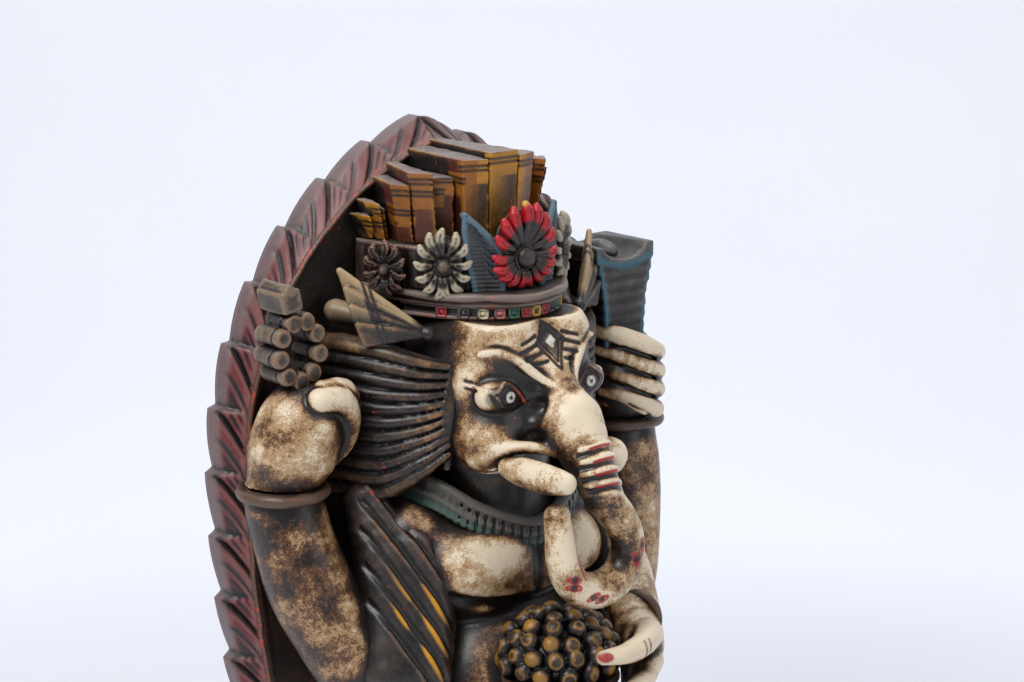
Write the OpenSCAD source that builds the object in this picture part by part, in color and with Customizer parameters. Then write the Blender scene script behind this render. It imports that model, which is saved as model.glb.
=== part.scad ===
// Carved and painted wooden Ganesha idol, seated on a lotus before a flame-edged back slab.
// Row frame: +Z up, the figure faces -Y, the origin is the centre of the plinth's underside.
// "Right" and "left" are the figure's own right (-X) and left (+X). All sizes are millimetres.
// Each carved piece is cut back by the pieces it seats on, so neighbours meet face to face.

/* [Plinth and lotus seat] */
// Width of the plinth
plinth_w = 212; // [190:1:260]
// Depth of the plinth, front to back
plinth_d = 170; // [150:1:210]
// Height of the plinth
plinth_h = 30; // [24:1:45]
// Corner radius of the plinth
plinth_r = 14; // [6:1:24]
// Height of the step that is cut round the top of the plinth
plinth_step = 8; // [5:1:12]
// Width of the lotus seat
seat_w = 190; // [160:1:210]
// Depth of the lotus seat in front of the back slab
seat_d = 124; // [110:1:140]
// Height of the lotus seat
seat_h = 46; // [34:1:60]
// Diameter of the pegs that hold the seat to the plinth
peg_d = 9; // [6:0.5:12]

/* [Back slab] */
// Half of the slab's width at its widest, to the tips of the border leaves
slab_half_w = 131; // [110:1:157]
// Thickness of the slab
slab_t = 22; // [16:1:28]
// Height of the widest level of the slab
spring_z = 290; // [250:1:320]
// Radius of each of the two arcs of the pointed arch
arch_r = 171; // [160:1:200]
// Radius of the long curve of the slab's sides below the widest level
side_r = 650; // [450:10:900]
// Width of the leaf border, seen from the front
border_w = 11; // [8:1:16]
// How far the border leaves stand behind the slab's front face
border_set_back = 6; // [2:1:9]
// Leaves on each side of the border
leaf_count = 15; // [10:1:18]
// Depth of the notch between two leaves
leaf_notch = 5; // [2:0.5:7]
// Depth of the slab's tenon in the plinth
tenon_h = 16; // [10:1:20]

/* [Figure] */
// Height of the shoulders above the seat
shoulder_h = 186; // [170:1:210]
// Half of the width between the shoulders' centres
shoulder_half = 52; // [44:1:60]
// Radius of the belly, side to side
belly_r = 58; // [48:1:66]
// Half width of the head
head_half_w = 48; // [40:1:54]
// Height of the head, chin to headband
head_h = 74; // [66:1:84]
// Reach of the face in front of the head's centre
face_reach = 60; // [50:1:70]
// Radius of the trunk where it leaves the face
trunk_r = 15; // [12:0.5:18]
// Length of a tusk in front of the mouth
tusk_l = 40; // [30:1:48]
// Radius of a tusk at its thickest
tusk_r = 9; // [7:0.5:11]
// Spread of each ear from the side of the head
ear_w = 30; // [22:1:36]
// Height of each ear
ear_h = 72; // [60:1:84]
// Radius of the rear forearms
arm_r = 19; // [15:0.5:23]
// Radius of the thighs and shins
leg_r = 23; // [18:0.5:26]
// Thickness of a bangle's ring
bangle_t = 7; // [5:0.5:9]

/* [Crown] */
// Half width of the crown across the tops of its staves
crown_half_w = 57; // [50:1:64]
// Height of the crown, headband to the top of the centre stave
crown_h = 80; // [66:1:90]
// Height of the jewelled headband
band_h = 10; // [7:1:13]
// Gap left by the saw cut between two staves
saw_cut = 0.6; // [0.4:0.1:1.2]
// Stones set in the visible half of the headband
gem_count = 13; // [9:2:17]
// Height of the front rosette
rosette_h = 42; // [34:1:48]

/* [Attributes] */
// Outer radius of the sweet bowl
bowl_r = 31; // [26:1:36]
// Height of the bowl
bowl_h = 22; // [18:1:28]
// Diameter of one sweet ball
sweet_d = 9.5; // [8:0.5:12]
// Diameter of one bead of the rosary
bead_d = 9; // [7:0.5:11]
// Length of each bead, along the depth of the idol
bead_l = 22; // [16:1:26]
// Beads in the ring of the rosary
bead_count = 9; // [7:1:12]
// Half height of the rosary's ring, to the centres of its beads
rosary_half_h = 16; // [13:1:20]
// Half width of the rosary's ring, to the centres of its beads
rosary_half_w = 12; // [9:1:16]
// Width of the axe head
axe_w = 34; // [28:1:40]
// Height of the axe head
axe_h = 50; // [42:1:58]
// Length of the radish
radish_l = 50; // [40:1:60]

/* [Hidden] */

// Fineness of the hulled carvings and of true round parts
soft_fn = 20;
round_fn = 64;
sweet_fn = 10;

// Levels and planes that everything is set out from
slab_y = plinth_d / 2 - 35;
slab_back_y = slab_y + slab_t;
seat_top = plinth_h + seat_h;
shoulder_z = seat_top + shoulder_h;
chin_z = shoulder_z + 29;
band_z = chin_z + head_h;
head_z = band_z - head_h / 2;
face_y = -4 - face_reach;
big = 600;

// Pointed arch of the slab
arch_off = arch_r - slab_half_w;
apex_z = spring_z + sqrt(pow(arch_r, 2) - pow(arch_off, 2));
apex_angle = acos(arch_off / arch_r);
upper_run = arch_r * apex_angle * PI / 180;
edge_run = upper_run + side_r * asin((spring_z - plinth_h) / side_r) * PI / 180;

// Lotus seat
seat_ry = seat_d * 0.6;
seat_mid_y = slab_y - seat_d + seat_ry;
seat_lip = seat_h * 0.16;
petal_z = plinth_h + seat_h * 0.2;
petal_count = 15;
petal_r = 11;

// Carver's pegs
peg_l = 26;
pin_d = peg_d - 3;

// Points of the limbs on the figure's right, as [x, y, z, radius]
wrist_x = slab_half_w - 19;
rear_wrist = [-wrist_x, slab_y - 18, shoulder_z + 22, arm_r];
rear_shoulder = [-shoulder_half - 4, 12, shoulder_z - 22, arm_r - 1];
rear_elbow = [-shoulder_half - 22, 7, seat_top + 106, arm_r + 1];
rear_forearm = [-wrist_x + 15, 15, shoulder_z - 47, arm_r + 1];
rear_palm = [rear_wrist[0] + 6, slab_y - 22, rear_wrist[2] + 30, arm_r + 4];
front_shoulder = [-shoulder_half - 6, 0, shoulder_z - 26, arm_r - 2];
front_elbow = [-belly_r - 24, -18, seat_top + 94, arm_r - 3];
front_wrist = [-belly_r - 6, -64, seat_top + 70, arm_r - 6];
front_palm = [-belly_r - 2, -82, seat_top + 62, arm_r - 7];
left_elbow = [belly_r + 3, -25, seat_top + 144, arm_r - 3];
left_wrist = [belly_r - 12, -53, seat_top + 128, arm_r - 7];
left_palm = [belly_r - 24, -69, seat_top + 122, arm_r - 6];
left_fingers = [[-6, -93, seat_top + 129, 6], [-22, -88, seat_top + 116, 6]];
bowl_at = [-8, -58, seat_top + 92];
hip = [-34, -4, seat_top + leg_r - 3, leg_r + 1];
knee = [-72, -36, seat_top + leg_r - 5, leg_r];
ankle = [-14, -58, seat_top + 14, 14];
toes = [16, -66, seat_top + 10, 10];
rosary_at = [rear_palm[0] - 2, rear_palm[2] + arm_r + 24];
axe_x = -rear_palm[0] - 8;
axe_z = rear_palm[2] + arm_r - 6;

// Centre line of the trunk: out of the face, round to the figure's left, under and up again
trunk_sway = 20;
trunk_path = [
    [0, face_y + 6, head_z - 24, trunk_r + 2],
    [0, face_y - 8, head_z - 42, trunk_r - 3],
    [trunk_sway * 0.75, face_y - 13, head_z - 71, trunk_r * 0.6],
    [trunk_sway, face_y - 12, head_z - 86, trunk_r * 0.58],
    [trunk_sway * 0.1, face_y - 12, head_z - 103, trunk_r * 0.6],
    [-trunk_sway, face_y - 10, head_z - 88, trunk_r * 0.55],
    [-trunk_sway - 1, face_y - 6, head_z - 63, trunk_r * 0.48]];

// Crown, from the headband up: rim, drum, then staves that stand on the drum
crown_mid_y = slab_y - 40;
band_half_w = head_half_w + 1;
band_y = -29;
rim_z = band_z + band_h - 3;
rim_h = 3;
drum_z = band_z + band_h + 3;
drum_h = 22;
drum_half_w = head_half_w + 4;
drum_y = -16;
drum_top = drum_z + drum_h;
rosette_t = 6;
crown_front_y = -6;
foot_share = 0.86;

// Edges of the staves outwards from the centre: [share of the half width at the front, at the
// slab, top height below the centre stave]. They splay like a fan in plan and lean outwards.
stave_edges = [[0.175, 0.07, 1], [0.42, 0.32, 3], [0.64, 0.43, 6], [0.79, 0.54, 9],
    [0.88, 0.7, 15], [0.93, 0.8, 22], [0.97, 0.9, 25], [1, 1, 32]];
function recess(i) = i == 1 || i == 4 ? 1 : 0;
function edge_y(i) = slab_y - (slab_y - crown_front_y) * sqrt(1 - pow(stave_edges[i][0], 2)) - 1;
function edge_top(i) = band_z + crown_h - stave_edges[i][2];
function lean(i, z) = foot_share + (1 - foot_share) * (z - drum_top) / (edge_top(i) - drum_top);
function stave_top(i) = edge_top(i + 1) - 6 * recess(i);

// Front and back corner of edge i at height z, moved sideways by shift
function edge_line(i, z, shift, set_back) = let (w = crown_half_w * lean(i, z))
    [[stave_edges[i][0] * w + shift, edge_y(i) + set_back], [stave_edges[i][1] * w + shift, slab_y]];

function mirrored(path) = [for (p = path) concat([-p[0]], [for (i = [1:len(p) - 1]) p[i]])];

// ---- forms that repeat ----

module ball(p) {
    translate([p[0], p[1], p[2]]) sphere(r = p[3], $fn = soft_fn);
}

module limb(path) {
    for (i = [0:len(path) - 2]) hull() {
        ball(path[i]);
        ball(path[i + 1]);
    }
}

module egg(at, radii) {
    translate(at) scale(radii) sphere(r = 1, $fn = soft_fn + 4);
}

module rounded_plate(w, d, h, r) {
    translate([0, 0, h / 2]) cube([w - 2 * r, d, h], center = true);
    translate([0, 0, h / 2]) cube([w, d - 2 * r, h], center = true);
    for (x = [-1, 1], y = [-1, 1]) translate([x * (w / 2 - r), y * (d / 2 - r), 0])
        cylinder(r = r, h = h, $fn = round_fn);
}

module before_slab() {
    intersection() {
        children();
        translate([-big / 2, slab_y - big, 0]) cube(big);
    }
}

module above_seat() {
    intersection() {
        children();
        translate([-big / 2, -big / 2, seat_top]) cube(big);
    }
}

// Plate in the X-Z plane, from y0 back to y1
module upright_plate(y0, y1) {
    translate([0, y1, 0]) rotate([90, 0, 0]) linear_extrude(y1 - y0) children();
}

// ---- outlines of the back slab ----

// Pointed arch with long curved sides, drawn in by inset all round
module slab_outline(inset, floor_z) {
    intersection() {
        for (side = [-1, 1]) intersection_for (half = [-1, 1])
            translate([half * arch_off, spring_z]) circle(r = arch_r - inset, $fn = 180);
        translate([-big, spring_z]) square([2 * big, big]);
    }
    intersection() {
        intersection_for (half = [-1, 1])
            translate([half * (side_r - slab_half_w), spring_z])
                circle(r = side_r - inset, $fn = 360);
        translate([-big, floor_z]) square([2 * big, spring_z - floor_z + 0.01]);
    }
}

// Point of the outline s millimetres down its left edge from the apex, moved in by inset
function edge_point(s, inset) = s < upper_run
    ? let (a = apex_angle - s / arch_r * 180 / PI)
        [(arch_r - inset) * cos(a) - arch_off, spring_z + (arch_r - inset) * sin(a)]
    : let (b = (s - upper_run) / side_r * 180 / PI)
        [slab_half_w - side_r + (side_r - inset) * cos(b), spring_z - (side_r - inset) * sin(b)];

// Each leaf has its tip at its upper end and falls back to the notch over its length
leaf_profile = [[0.02, 0], [0.3, 0.08], [0.6, 0.3], [0.85, 0.65], [0.98, 1]];

module leaf_ring() {
    inner = [for (i = [40:-1:-2]) edge_point(i / 40 * edge_run, border_w)];
    outer = [for (i = [0:leaf_count - 1], p = leaf_profile)
        edge_point((i + p[0]) * edge_run / leaf_count, p[1] * leaf_notch)];
    intersection() {
        polygon(concat([[-1, apex_z]], outer, inner));
        translate([0, plinth_h]) square([big, big]);
    }
}

// ---- plinth and seat ----

module plinth() {
    color("#4a2c1c") difference() {
        union() {
            rounded_plate(plinth_w, plinth_d, plinth_h - plinth_step, plinth_r);
            rounded_plate(plinth_w - 2 * plinth_step, plinth_d - 2 * plinth_step, plinth_h,
                plinth_r - 4);
        }
        tenon_form(0);
        seat_peg_form();
        slab_pin_form();
    }
}

module tenon_form(slack) {
    translate([-slab_half_w / 3, slab_y + slab_t / 4 - slack, plinth_h - tenon_h - slack])
        cube([2 * slab_half_w / 3, slab_t / 2 + 2 * slack, tenon_h + 1]);
}

module seat_peg_form() {
    for (x = [-1, 1]) translate([x * seat_w / 4, slab_y - seat_d / 2, plinth_h - peg_l / 2])
        cylinder(d = peg_d, h = peg_l, $fn = round_fn);
}

module seat_pegs() color("#c79a63") seat_peg_form();

// Pins driven from the back of the plinth through the slab's tenon
module slab_pin_form() {
    for (x = [-1, 1]) translate([x * slab_half_w / 5, slab_back_y + 1, plinth_h - tenon_h / 2])
        rotate([90, 0, 0]) cylinder(d = pin_d, h = slab_t, $fn = round_fn);
}

module slab_pins() color("#c79a63") slab_pin_form();

// Plan of the seat: an ellipse that the slab's face cuts off at the back
module seat_plan(grow) {
    intersection() {
        translate([0, seat_mid_y]) scale([seat_w / 2 + grow, seat_ry + grow]) circle(r = 1, $fn = 120);
        translate([-big / 2, slab_y - big]) square(big);
    }
}

module seat_slice(z, grow, h) {
    translate([0, 0, z]) linear_extrude(h) seat_plan(grow);
}

module lotus_seat() {
    color("#5a2f22") difference() {
        union() {
            seat_slice(plinth_h, -4, petal_z - plinth_h);
            seat_slice(plinth_h, -petal_r, seat_h);
            seat_slice(seat_top - seat_lip, -3, seat_lip);
        }
        seat_peg_form();
    }
}

// Ring of rounded petals carved round the waist of the seat
module seat_petals() {
    color("#8f2a24") difference() {
        intersection() {
            for (i = [0:petal_count - 1]) let (a = 180 + (i + 0.5) * 180 / petal_count)
                translate([(seat_w / 2 - petal_r) * cos(a), seat_mid_y + (seat_ry - petal_r) * sin(a),
                    petal_z]) cylinder(r = petal_r, h = seat_top - seat_lip - petal_z, $fn = 48);
            seat_slice(plinth_h, 0, seat_h);
        }
        seat_slice(plinth_h, -petal_r, seat_h);
    }
}

// ---- back slab ----

module back_slab() {
    color("#33211b") difference() {
        union() {
            upright_plate(slab_y, slab_back_y) slab_outline(border_w, plinth_h);
            tenon_form(0);
        }
        slab_pin_form();
        chest_peg_form();
    }
}

module moulding_form() {
    upright_plate(slab_y - 2, slab_y) difference() {
        slab_outline(border_w, plinth_h + seat_h);
        slab_outline(border_w + 4, plinth_h + seat_h - 1);
    }
}

// Raised bead that parts the plain field from the border leaves; what crosses it is notched over it
module slab_moulding() color("#4b3328") moulding_form();

module leaf_border() upright_plate(slab_y + border_set_back, slab_back_y) leaf_ring();

module leaf_border_right() color("#8c2420") mirror([1, 0, 0]) leaf_border();

module leaf_border_left() color("#8c2420") leaf_border();

// ---- body ----

module torso_form() {
    before_slab() above_seat() {
        hull() {
            egg([0, 6, seat_top + 18], [belly_r - 6, 40, 24]);
            egg([0, -1, seat_top + 86], [belly_r + 1, 50, 54]);
        }
        hull() {
            egg([0, 0, seat_top + 120], [belly_r - 10, 36, 34]);
            egg([0, 6, shoulder_z - 22], [shoulder_half + 2, 33, 28]);
            for (s = [-1, 1]) ball([s * (shoulder_half + 2), 14, shoulder_z - 12, arm_r]);
        }
        translate([0, 8, shoulder_z - 10]) cylinder(r = 32, h = chin_z - shoulder_z + 20,
            $fn = round_fn);
    }
}

module torso() color("#b79a78") difference() {
    torso_form();
    chest_peg_form();
}

// Pegs that hold the figure's back to the slab
module chest_peg_form() {
    for (z = [seat_top + 60, shoulder_z - 30])
        translate([0, slab_y + slab_t / 2, z]) rotate([90, 0, 0])
            cylinder(d = peg_d, h = slab_t / 2 + peg_l, $fn = round_fn);
}

module chest_pegs() color("#c79a63") chest_peg_form();

module leg_form(path) {
    before_slab() above_seat() limb(path);
}

module right_leg() color("#b79a78") difference() {
    leg_form([hip, knee, ankle, toes]);
    torso_form();
}

module left_leg() color("#b79a78") difference() {
    leg_form(mirrored([hip, knee, ankle + [0, 16, 6, 0]]));
    torso_form();
    leg_form([hip, knee, ankle, toes]);
}

module anklet_form(p, turn) {
    translate([p[0], p[1], p[2]]) rotate([0, 90, turn])
        cylinder(r = p[3] + 3, h = bangle_t, center = true, $fn = round_fn);
}

module right_anklet() color("#2e2420") difference() {
    above_seat() anklet_form(ankle + [-10, 4, 2, 2], -18);
    leg_form([hip, knee, ankle, toes]);
    torso_form();
    leg_form(mirrored([hip, knee, ankle + [0, 16, 6, 0]]));
}

module left_anklet() color("#2e2420") difference() {
    above_seat() anklet_form([30, -50, seat_top + 18, 17], 18);
    leg_form(mirrored([hip, knee, ankle + [0, 16, 6, 0]]));
    torso_form();
    leg_form([hip, knee, ankle, toes]);
}

// Fall of cloth over the front of the seat between the knees
module waist_cloth() {
    color("#6e241d") difference() {
        hull() {
            translate([-12, slab_y - seat_d - 3, seat_top - 28]) cube([24, 6, 28]);
            translate([-22, slab_y - seat_d + 8, seat_top]) cube([44, 14, 5]);
        }
        translate([0, 0, plinth_h]) linear_extrude(seat_h) seat_plan(0);
        leg_form([hip, knee, ankle, toes]);
        leg_form(mirrored([hip, knee, ankle + [0, 16, 6, 0]]));
        anklet_form(ankle + [-10, 4, 2, 2], -18);
    }
}

// ---- head ----

module head_form() {
    hull() {
        egg([0, 4, head_z + 2], [head_half_w, 42, head_h / 2 + 4]);
        egg([0, -18, head_z + 8], [head_half_w * 0.78, 30, head_h * 0.42]);
        for (s = [-1, 1]) egg([s * head_half_w * 0.45, -22, head_z - 14], [20, 24, 24]);
        egg([0, face_y + 18, head_z - 10], [trunk_r + 3, 17, 17]);
    }
}

module head() color("#b79a78") difference() {
    intersection() {
        head_form();
        translate([-big / 2, slab_y - big, 0]) cube([big, big, band_z]);
    }
    torso_form();
}

module trunk_form() limb(trunk_path);

module trunk() color("#b79a78") difference() {
    trunk_form();
    head_form();
}

module tusk_form() {
    limb([[-head_half_w * 0.56, face_y + 18, chin_z + 4, tusk_r],
        [-head_half_w * 0.56, face_y - 2, chin_z + 1, tusk_r],
        [-head_half_w * 0.48, face_y + 18 - tusk_l, chin_z - 1, tusk_r * 0.5]]);
}

module right_tusk() color("#d9c3a0") difference() {
    tusk_form();
    head_form();
    trunk_form();
}

module left_tusk() color("#d9c3a0") difference() {
    mirror([1, 0, 0]) tusk_form();
    head_form();
    trunk_form();
}

module ear_form() {
    before_slab() hull() {
        translate([-head_half_w + 6, -14, head_z + ear_h * 0.3]) sphere(r = 7, $fn = soft_fn);
        translate([-head_half_w + 6, -14, head_z - ear_h * 0.3]) sphere(r = 7, $fn = soft_fn);
        translate([-head_half_w - ear_w + 8, slab_y - 34, head_z + ear_h * 0.3])
            sphere(r = 8, $fn = soft_fn);
        translate([-head_half_w - ear_w * 0.4, slab_y - 30, head_z - ear_h * 0.56])
            sphere(r = 10, $fn = soft_fn);
        translate([-head_half_w - ear_w * 0.7, slab_y, head_z]) sphere(r = 18, $fn = soft_fn);
    }
}

module ear() difference() {
    intersection() {
        ear_form();
        translate([-big / 2, -big / 2, 0]) cube([big, big, band_z - 8]);
    }
    head_form();
    torso_form();
}

module right_ear() color("#3a2a20") difference() {
    ear();
    rear_arm_form();
    hand_form();
}

module left_ear() color("#3a2a20") mirror([1, 0, 0]) difference() {
    ear();
    rear_arm_form();
    hand_form();
}

// ---- chest dress ----

module necklace() {
    color("#27332c") difference() {
        intersection() {
            hull() {
                egg([0, 2, shoulder_z + 14], [shoulder_half * 0.94, 30, 10]);
                egg([0, 0, shoulder_z - 12], [20, 31, 8]);
            }
            translate([-big / 2, -big, 0]) cube([big, big + 20, big]);
        }
        torso_form();
        head_form();
        ear_form();
        mirror([1, 0, 0]) ear_form();
        trunk_form();
    }
}

module shawl_form() {
    before_slab() limb([[-shoulder_half - 12, 16, shoulder_z + 2, arm_r - 7],
        [-shoulder_half - 8, 2, shoulder_z - 44, arm_r - 2],
        [-shoulder_half + 2, -12, seat_top + 106, arm_r - 8]]);
}

module shawl() difference() {
    shawl_form();
    torso_form();
    rear_arm_form();
    ear_form();
}

module right_shawl() color("#2b2a2e") shawl();

module left_shawl() color("#2b2a2e") mirror([1, 0, 0]) shawl();

// ---- arms ----

module rear_arm_form() {
    before_slab() limb([rear_shoulder, rear_elbow, rear_forearm, rear_wrist]);
}

module rear_arm() difference() {
    rear_arm_form();
    torso_form();
    moulding_form();
}

module right_rear_arm() color("#b79a78") rear_arm();

module left_rear_arm() color("#b79a78") mirror([1, 0, 0]) rear_arm();

module hand_form() {
    before_slab() hull() {
        ball(rear_wrist + [0, 0, 8, -1]);
        ball(rear_palm);
        ball(rear_palm + [10, 0, 10, -8]);
    }
}

module rear_hand() difference() {
    hand_form();
    rear_arm_form();
    bangle_form();
    moulding_form();
}

module right_rear_hand() color("#b79a78") rear_hand();

module left_rear_hand() color("#b79a78") mirror([1, 0, 0]) rear_hand();

module bangle_form() {
    before_slab() translate([rear_wrist[0], rear_wrist[1], rear_wrist[2]])
        cylinder(r = arm_r + bangle_t / 2, h = bangle_t, center = true, $fn = round_fn);
}

module rear_bangle() difference() {
    bangle_form();
    rear_arm_form();
    ear_form();
    moulding_form();
}

module right_rear_bangle() color("#2e2420") rear_bangle();

module left_rear_bangle() color("#2e2420") mirror([1, 0, 0]) rear_bangle();

module right_front_form() limb([front_shoulder, front_elbow, front_wrist]);

module left_front_form() limb([mirrored([front_shoulder])[0], left_elbow, left_wrist]);

module right_front_arm() color("#b79a78") difference() {
    right_front_form();
    torso_form();
    rear_arm_form();
    shawl_form();
    leg_form([hip, knee, ankle, toes]);
}

module left_front_arm() color("#b79a78") difference() {
    left_front_form();
    torso_form();
    mirror([1, 0, 0]) rear_arm_form();
    mirror([1, 0, 0]) shawl_form();
    bowl_form();
}

module right_hand_form() limb([front_palm, front_palm + [4, -10, -4, -3]]);

module right_front_hand() color("#b79a78") difference() {
    right_hand_form();
    right_front_form();
    wrist_ring(front_wrist, front_palm);
    leg_form([hip, knee, ankle, toes]);
}

module left_hand_form() {
    for (tip = left_fingers) {
        knuckle = [left_palm[0] - 6, left_palm[1] - 16, (left_palm[2] + tip[2]) / 2, 7];
        limb([left_palm, knuckle, tip]);
    }
}

module left_front_hand() color("#b79a78") difference() {
    left_hand_form();
    left_front_form();
    wrist_ring(left_wrist, left_palm);
    bowl_form();
    trunk_form();
}

// Flat ring at point p, square to the line from p to q
module wrist_ring(p, q) {
    d = q - p;
    translate([p[0], p[1], p[2]]) rotate([0, acos(d[2] / norm([d[0], d[1], d[2]])), atan2(d[1], d[0])])
        cylinder(r = p[3] + bangle_t / 2, h = bangle_t, center = true, $fn = round_fn);
}

module right_front_bangle() color("#2e2420") difference() {
    wrist_ring(front_wrist, front_palm);
    right_front_form();
    leg_form([hip, knee, ankle, toes]);
    torso_form();
}

module left_front_bangle() color("#2e2420") difference() {
    wrist_ring(left_wrist, left_palm);
    left_front_form();
    bowl_form();
    torso_form();
}

// ---- what the hands hold ----

module bead(a) {
    translate([rosary_at[0] + rosary_half_w * cos(a), rear_palm[1] + bead_l / 2,
        rosary_at[1] + rosary_half_h * sin(a)]) rotate([90, 0, 0])
            cylinder(d = bead_d, h = bead_l, $fn = 32);
}

// Beads lying front to back on a carved web, with a gabled bead at the top of the ring
module rosary() {
    tip_w = bead_d * 1.7;
    web = bead_d * 0.4;
    color("#3b3630") difference() {
        union() {
            for (i = [0:bead_count - 1]) bead(90 + 360 * (i + 0.5) / bead_count);
            upright_plate(rear_palm[1] - 3, rear_palm[1] + 5) translate(rosary_at) difference() {
                scale([rosary_half_w + web, rosary_half_h + web]) circle(r = 1, $fn = 48);
                scale([rosary_half_w - web, rosary_half_h - web]) circle(r = 1, $fn = 48);
            }
            upright_plate(rear_palm[1] - bead_l / 2, rear_palm[1] + bead_l / 2)
                translate([rosary_at[0] - 4, rosary_at[1] + rosary_half_h])
                    polygon([[-tip_w / 2, 0], [tip_w / 2, 0], [tip_w / 2, tip_w * 0.65],
                        [0, tip_w * 0.95], [-tip_w / 2, tip_w * 0.65]]);
        }
        hand_form();
    }
}

module axe_blade_form() {
    hollow_r = axe_w * 0.9;
    translate([axe_x, slab_y, axe_z]) difference() {
        linear_extrude(axe_h) polygon([[-axe_w / 2, 0], [-axe_w / 2, -30], [4, -42],
            [axe_w / 2, -30], [axe_w / 2, 0]]);
        translate([0, 0, axe_h + hollow_r - 5]) rotate([90, 0, 0])
            cylinder(r = hollow_r, h = 120, center = true, $fn = round_fn);
    }
}

module axe_head() color("#1f2f38") difference() {
    axe_blade_form();
    mirror([1, 0, 0]) {
        hand_form();
        ear_form();
        ribbon_form();
    }
    axe_handle_form();
    moulding_form();
}

// Shaft whose end stands out of the top of the axe head
module axe_handle_form() {
    upright_plate(slab_y - 28, slab_y) hull() {
        translate([axe_x - 6, axe_z]) square([12, axe_h - 2]);
        translate([axe_x, axe_z + axe_h]) circle(r = 6, $fn = 24);
    }
}

module axe_handle() color("#2a2320") difference() {
    axe_handle_form();
    mirror([1, 0, 0]) hand_form();
    moulding_form();
}

module bowl_form() {
    translate(bowl_at) cylinder(r1 = bowl_r * 0.62, r2 = bowl_r, h = bowl_h, $fn = round_fn);
    heap_form();
}

// Heap that the sweets are carved on
module heap_form() {
    intersection() {
        translate(bowl_at + [0, 0, bowl_h]) sphere(r = bowl_r - 4, $fn = round_fn);
        translate(bowl_at + [-bowl_r, -bowl_r, bowl_h]) cube(2 * bowl_r);
    }
}

module sweet_bowl() color("#2e2420") difference() {
    bowl_form();
    torso_form();
}

// Rows of sweets up the heap: [elevation, sweets in the row, degrees of the row on each side]
sweet_rows = [[10, 11, 112], [32, 10, 118], [54, 8, 135], [76, 3, 120]];

// Only the open front and sides of the heap carry sweets, so none runs into the belly
module sweets() {
    color("#3d3128") difference() {
        for (row = sweet_rows, i = [0:row[1] - 1])
            let (a = -90 - row[2] + 2 * row[2] * i / (row[1] - 1), r = bowl_r - 3)
                translate(bowl_at + [r * cos(a) * cos(row[0]), r * sin(a) * cos(row[0]),
                    bowl_h + r * sin(row[0])]) sphere(d = sweet_d, $fn = sweet_fn);
        heap_form();
        left_hand_form();
        translate(bowl_at) cylinder(r = bowl_r, h = bowl_h, $fn = round_fn);
    }
}

module radish_form() {
    limb([front_palm + [-4, -6, 8, -2], front_palm + [-2, -8, -8, -6],
        front_palm + [4, -10, 14 - radish_l, -9]]);
}

module radish() color("#c9b08a") difference() {
    radish_form();
    right_hand_form();
    leg_form([hip, knee, ankle, toes]);
    right_front_form();
    wrist_ring(front_wrist, front_palm);
}

// Tuft of leaves that stands out of the top of the fist
module radish_leaves() color("#2d5a3c") difference() {
    for (turn = [-30, 0, 30]) translate([front_palm[0] - 4, front_palm[1] - 6, front_palm[2] + 12])
        rotate([12, turn, 0]) translate([0, 0, 12]) scale([6, 3.4, 15]) sphere(r = 1, $fn = 16);
    translate([-big / 2, -big, 0]) cube([big, big, front_palm[2] + 13]);
    radish_form();
}

// ---- crown ----

// Plan of the crown at a level: a half ellipse in front, straight sides back to the slab
module crown_plan(half_w, front_y) {
    translate([0, crown_mid_y]) intersection() {
        scale([half_w, crown_mid_y - front_y]) circle(r = 1, $fn = 72);
        translate([-half_w, front_y - crown_mid_y]) square([2 * half_w, crown_mid_y - front_y]);
    }
    translate([-half_w, crown_mid_y]) square([2 * half_w, slab_y - crown_mid_y]);
}

module crown_slice(z, half_w, front_y, h) {
    translate([0, 0, z]) linear_extrude(h) crown_plan(half_w, front_y);
}

module headband() color("#241b17") difference() {
    crown_slice(band_z, band_half_w, band_y, band_h - rim_h);
    headband_stone_form();
}

// Stepped brim between the headband and the drum
module crown_rim() {
    color("#2b221e") {
        crown_slice(rim_z, band_half_w + 3, band_y - 4, rim_h);
        crown_slice(rim_z + rim_h - 0.1, band_half_w, drum_y - 5, drum_z - rim_z - rim_h + 0.1);
    }
}

// Drum that the rosettes stand against and the staves stand on
module drum_form(z, h) {
    translate([0, slab_y, z]) linear_extrude(h) intersection() {
        scale([drum_half_w, slab_y - drum_y]) circle(r = 1, $fn = 96);
        translate([-big / 2, -big]) square(big);
    }
}

module crown_drum() color("#2f221c") drum_form(drum_z, drum_h);

// Thin slice of the stave between edges i and i + 1
module stave_slice(i, z) {
    near = edge_line(i, z, saw_cut / 2, 7 * recess(i));
    far = edge_line(i + 1, z, -saw_cut / 2, 7 * recess(i));
    translate([0, 0, z]) linear_extrude(0.2) polygon([near[0], near[1], far[1], far[0]]);
}

// Staves run back to the slab and stand on the drum
module side_staves() {
    for (i = [0:len(stave_edges) - 2]) hull() {
        stave_slice(i, drum_top);
        stave_slice(i, stave_top(i) - 0.2);
    }
}

module centre_slice(z) {
    line = edge_line(0, z, -saw_cut / 2, 0);
    translate([0, 0, z]) linear_extrude(0.2)
        polygon([line[0], line[1], [-line[1][0], slab_y], [-line[0][0], line[0][1]]]);
}

module crown_centre_stave() color("#b07a1e") difference() {
    hull() {
        centre_slice(drum_top);
        centre_slice(band_z + crown_h - 0.2);
    }
    moulding_form();
}

module crown_left_staves() color("#9a6a1c") difference() {
    side_staves();
    moulding_form();
}

module crown_right_staves() color("#9a6a1c") mirror([1, 0, 0]) difference() {
    side_staves();
    moulding_form();
}

// Stones let into the front of the headband
module headband_stone_form() {
    for (i = [0:gem_count - 1]) let (a = 192 + 156 * i / (gem_count - 1))
        translate([band_half_w * cos(a), crown_mid_y + (crown_mid_y - band_y) * sin(a), band_z + 1.4])
            rotate(a) translate([-2, -2.3, 0]) cube([4, 4.6, 4.6]);
}

module headband_stones() color("#a8262a") headband_stone_form();

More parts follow.
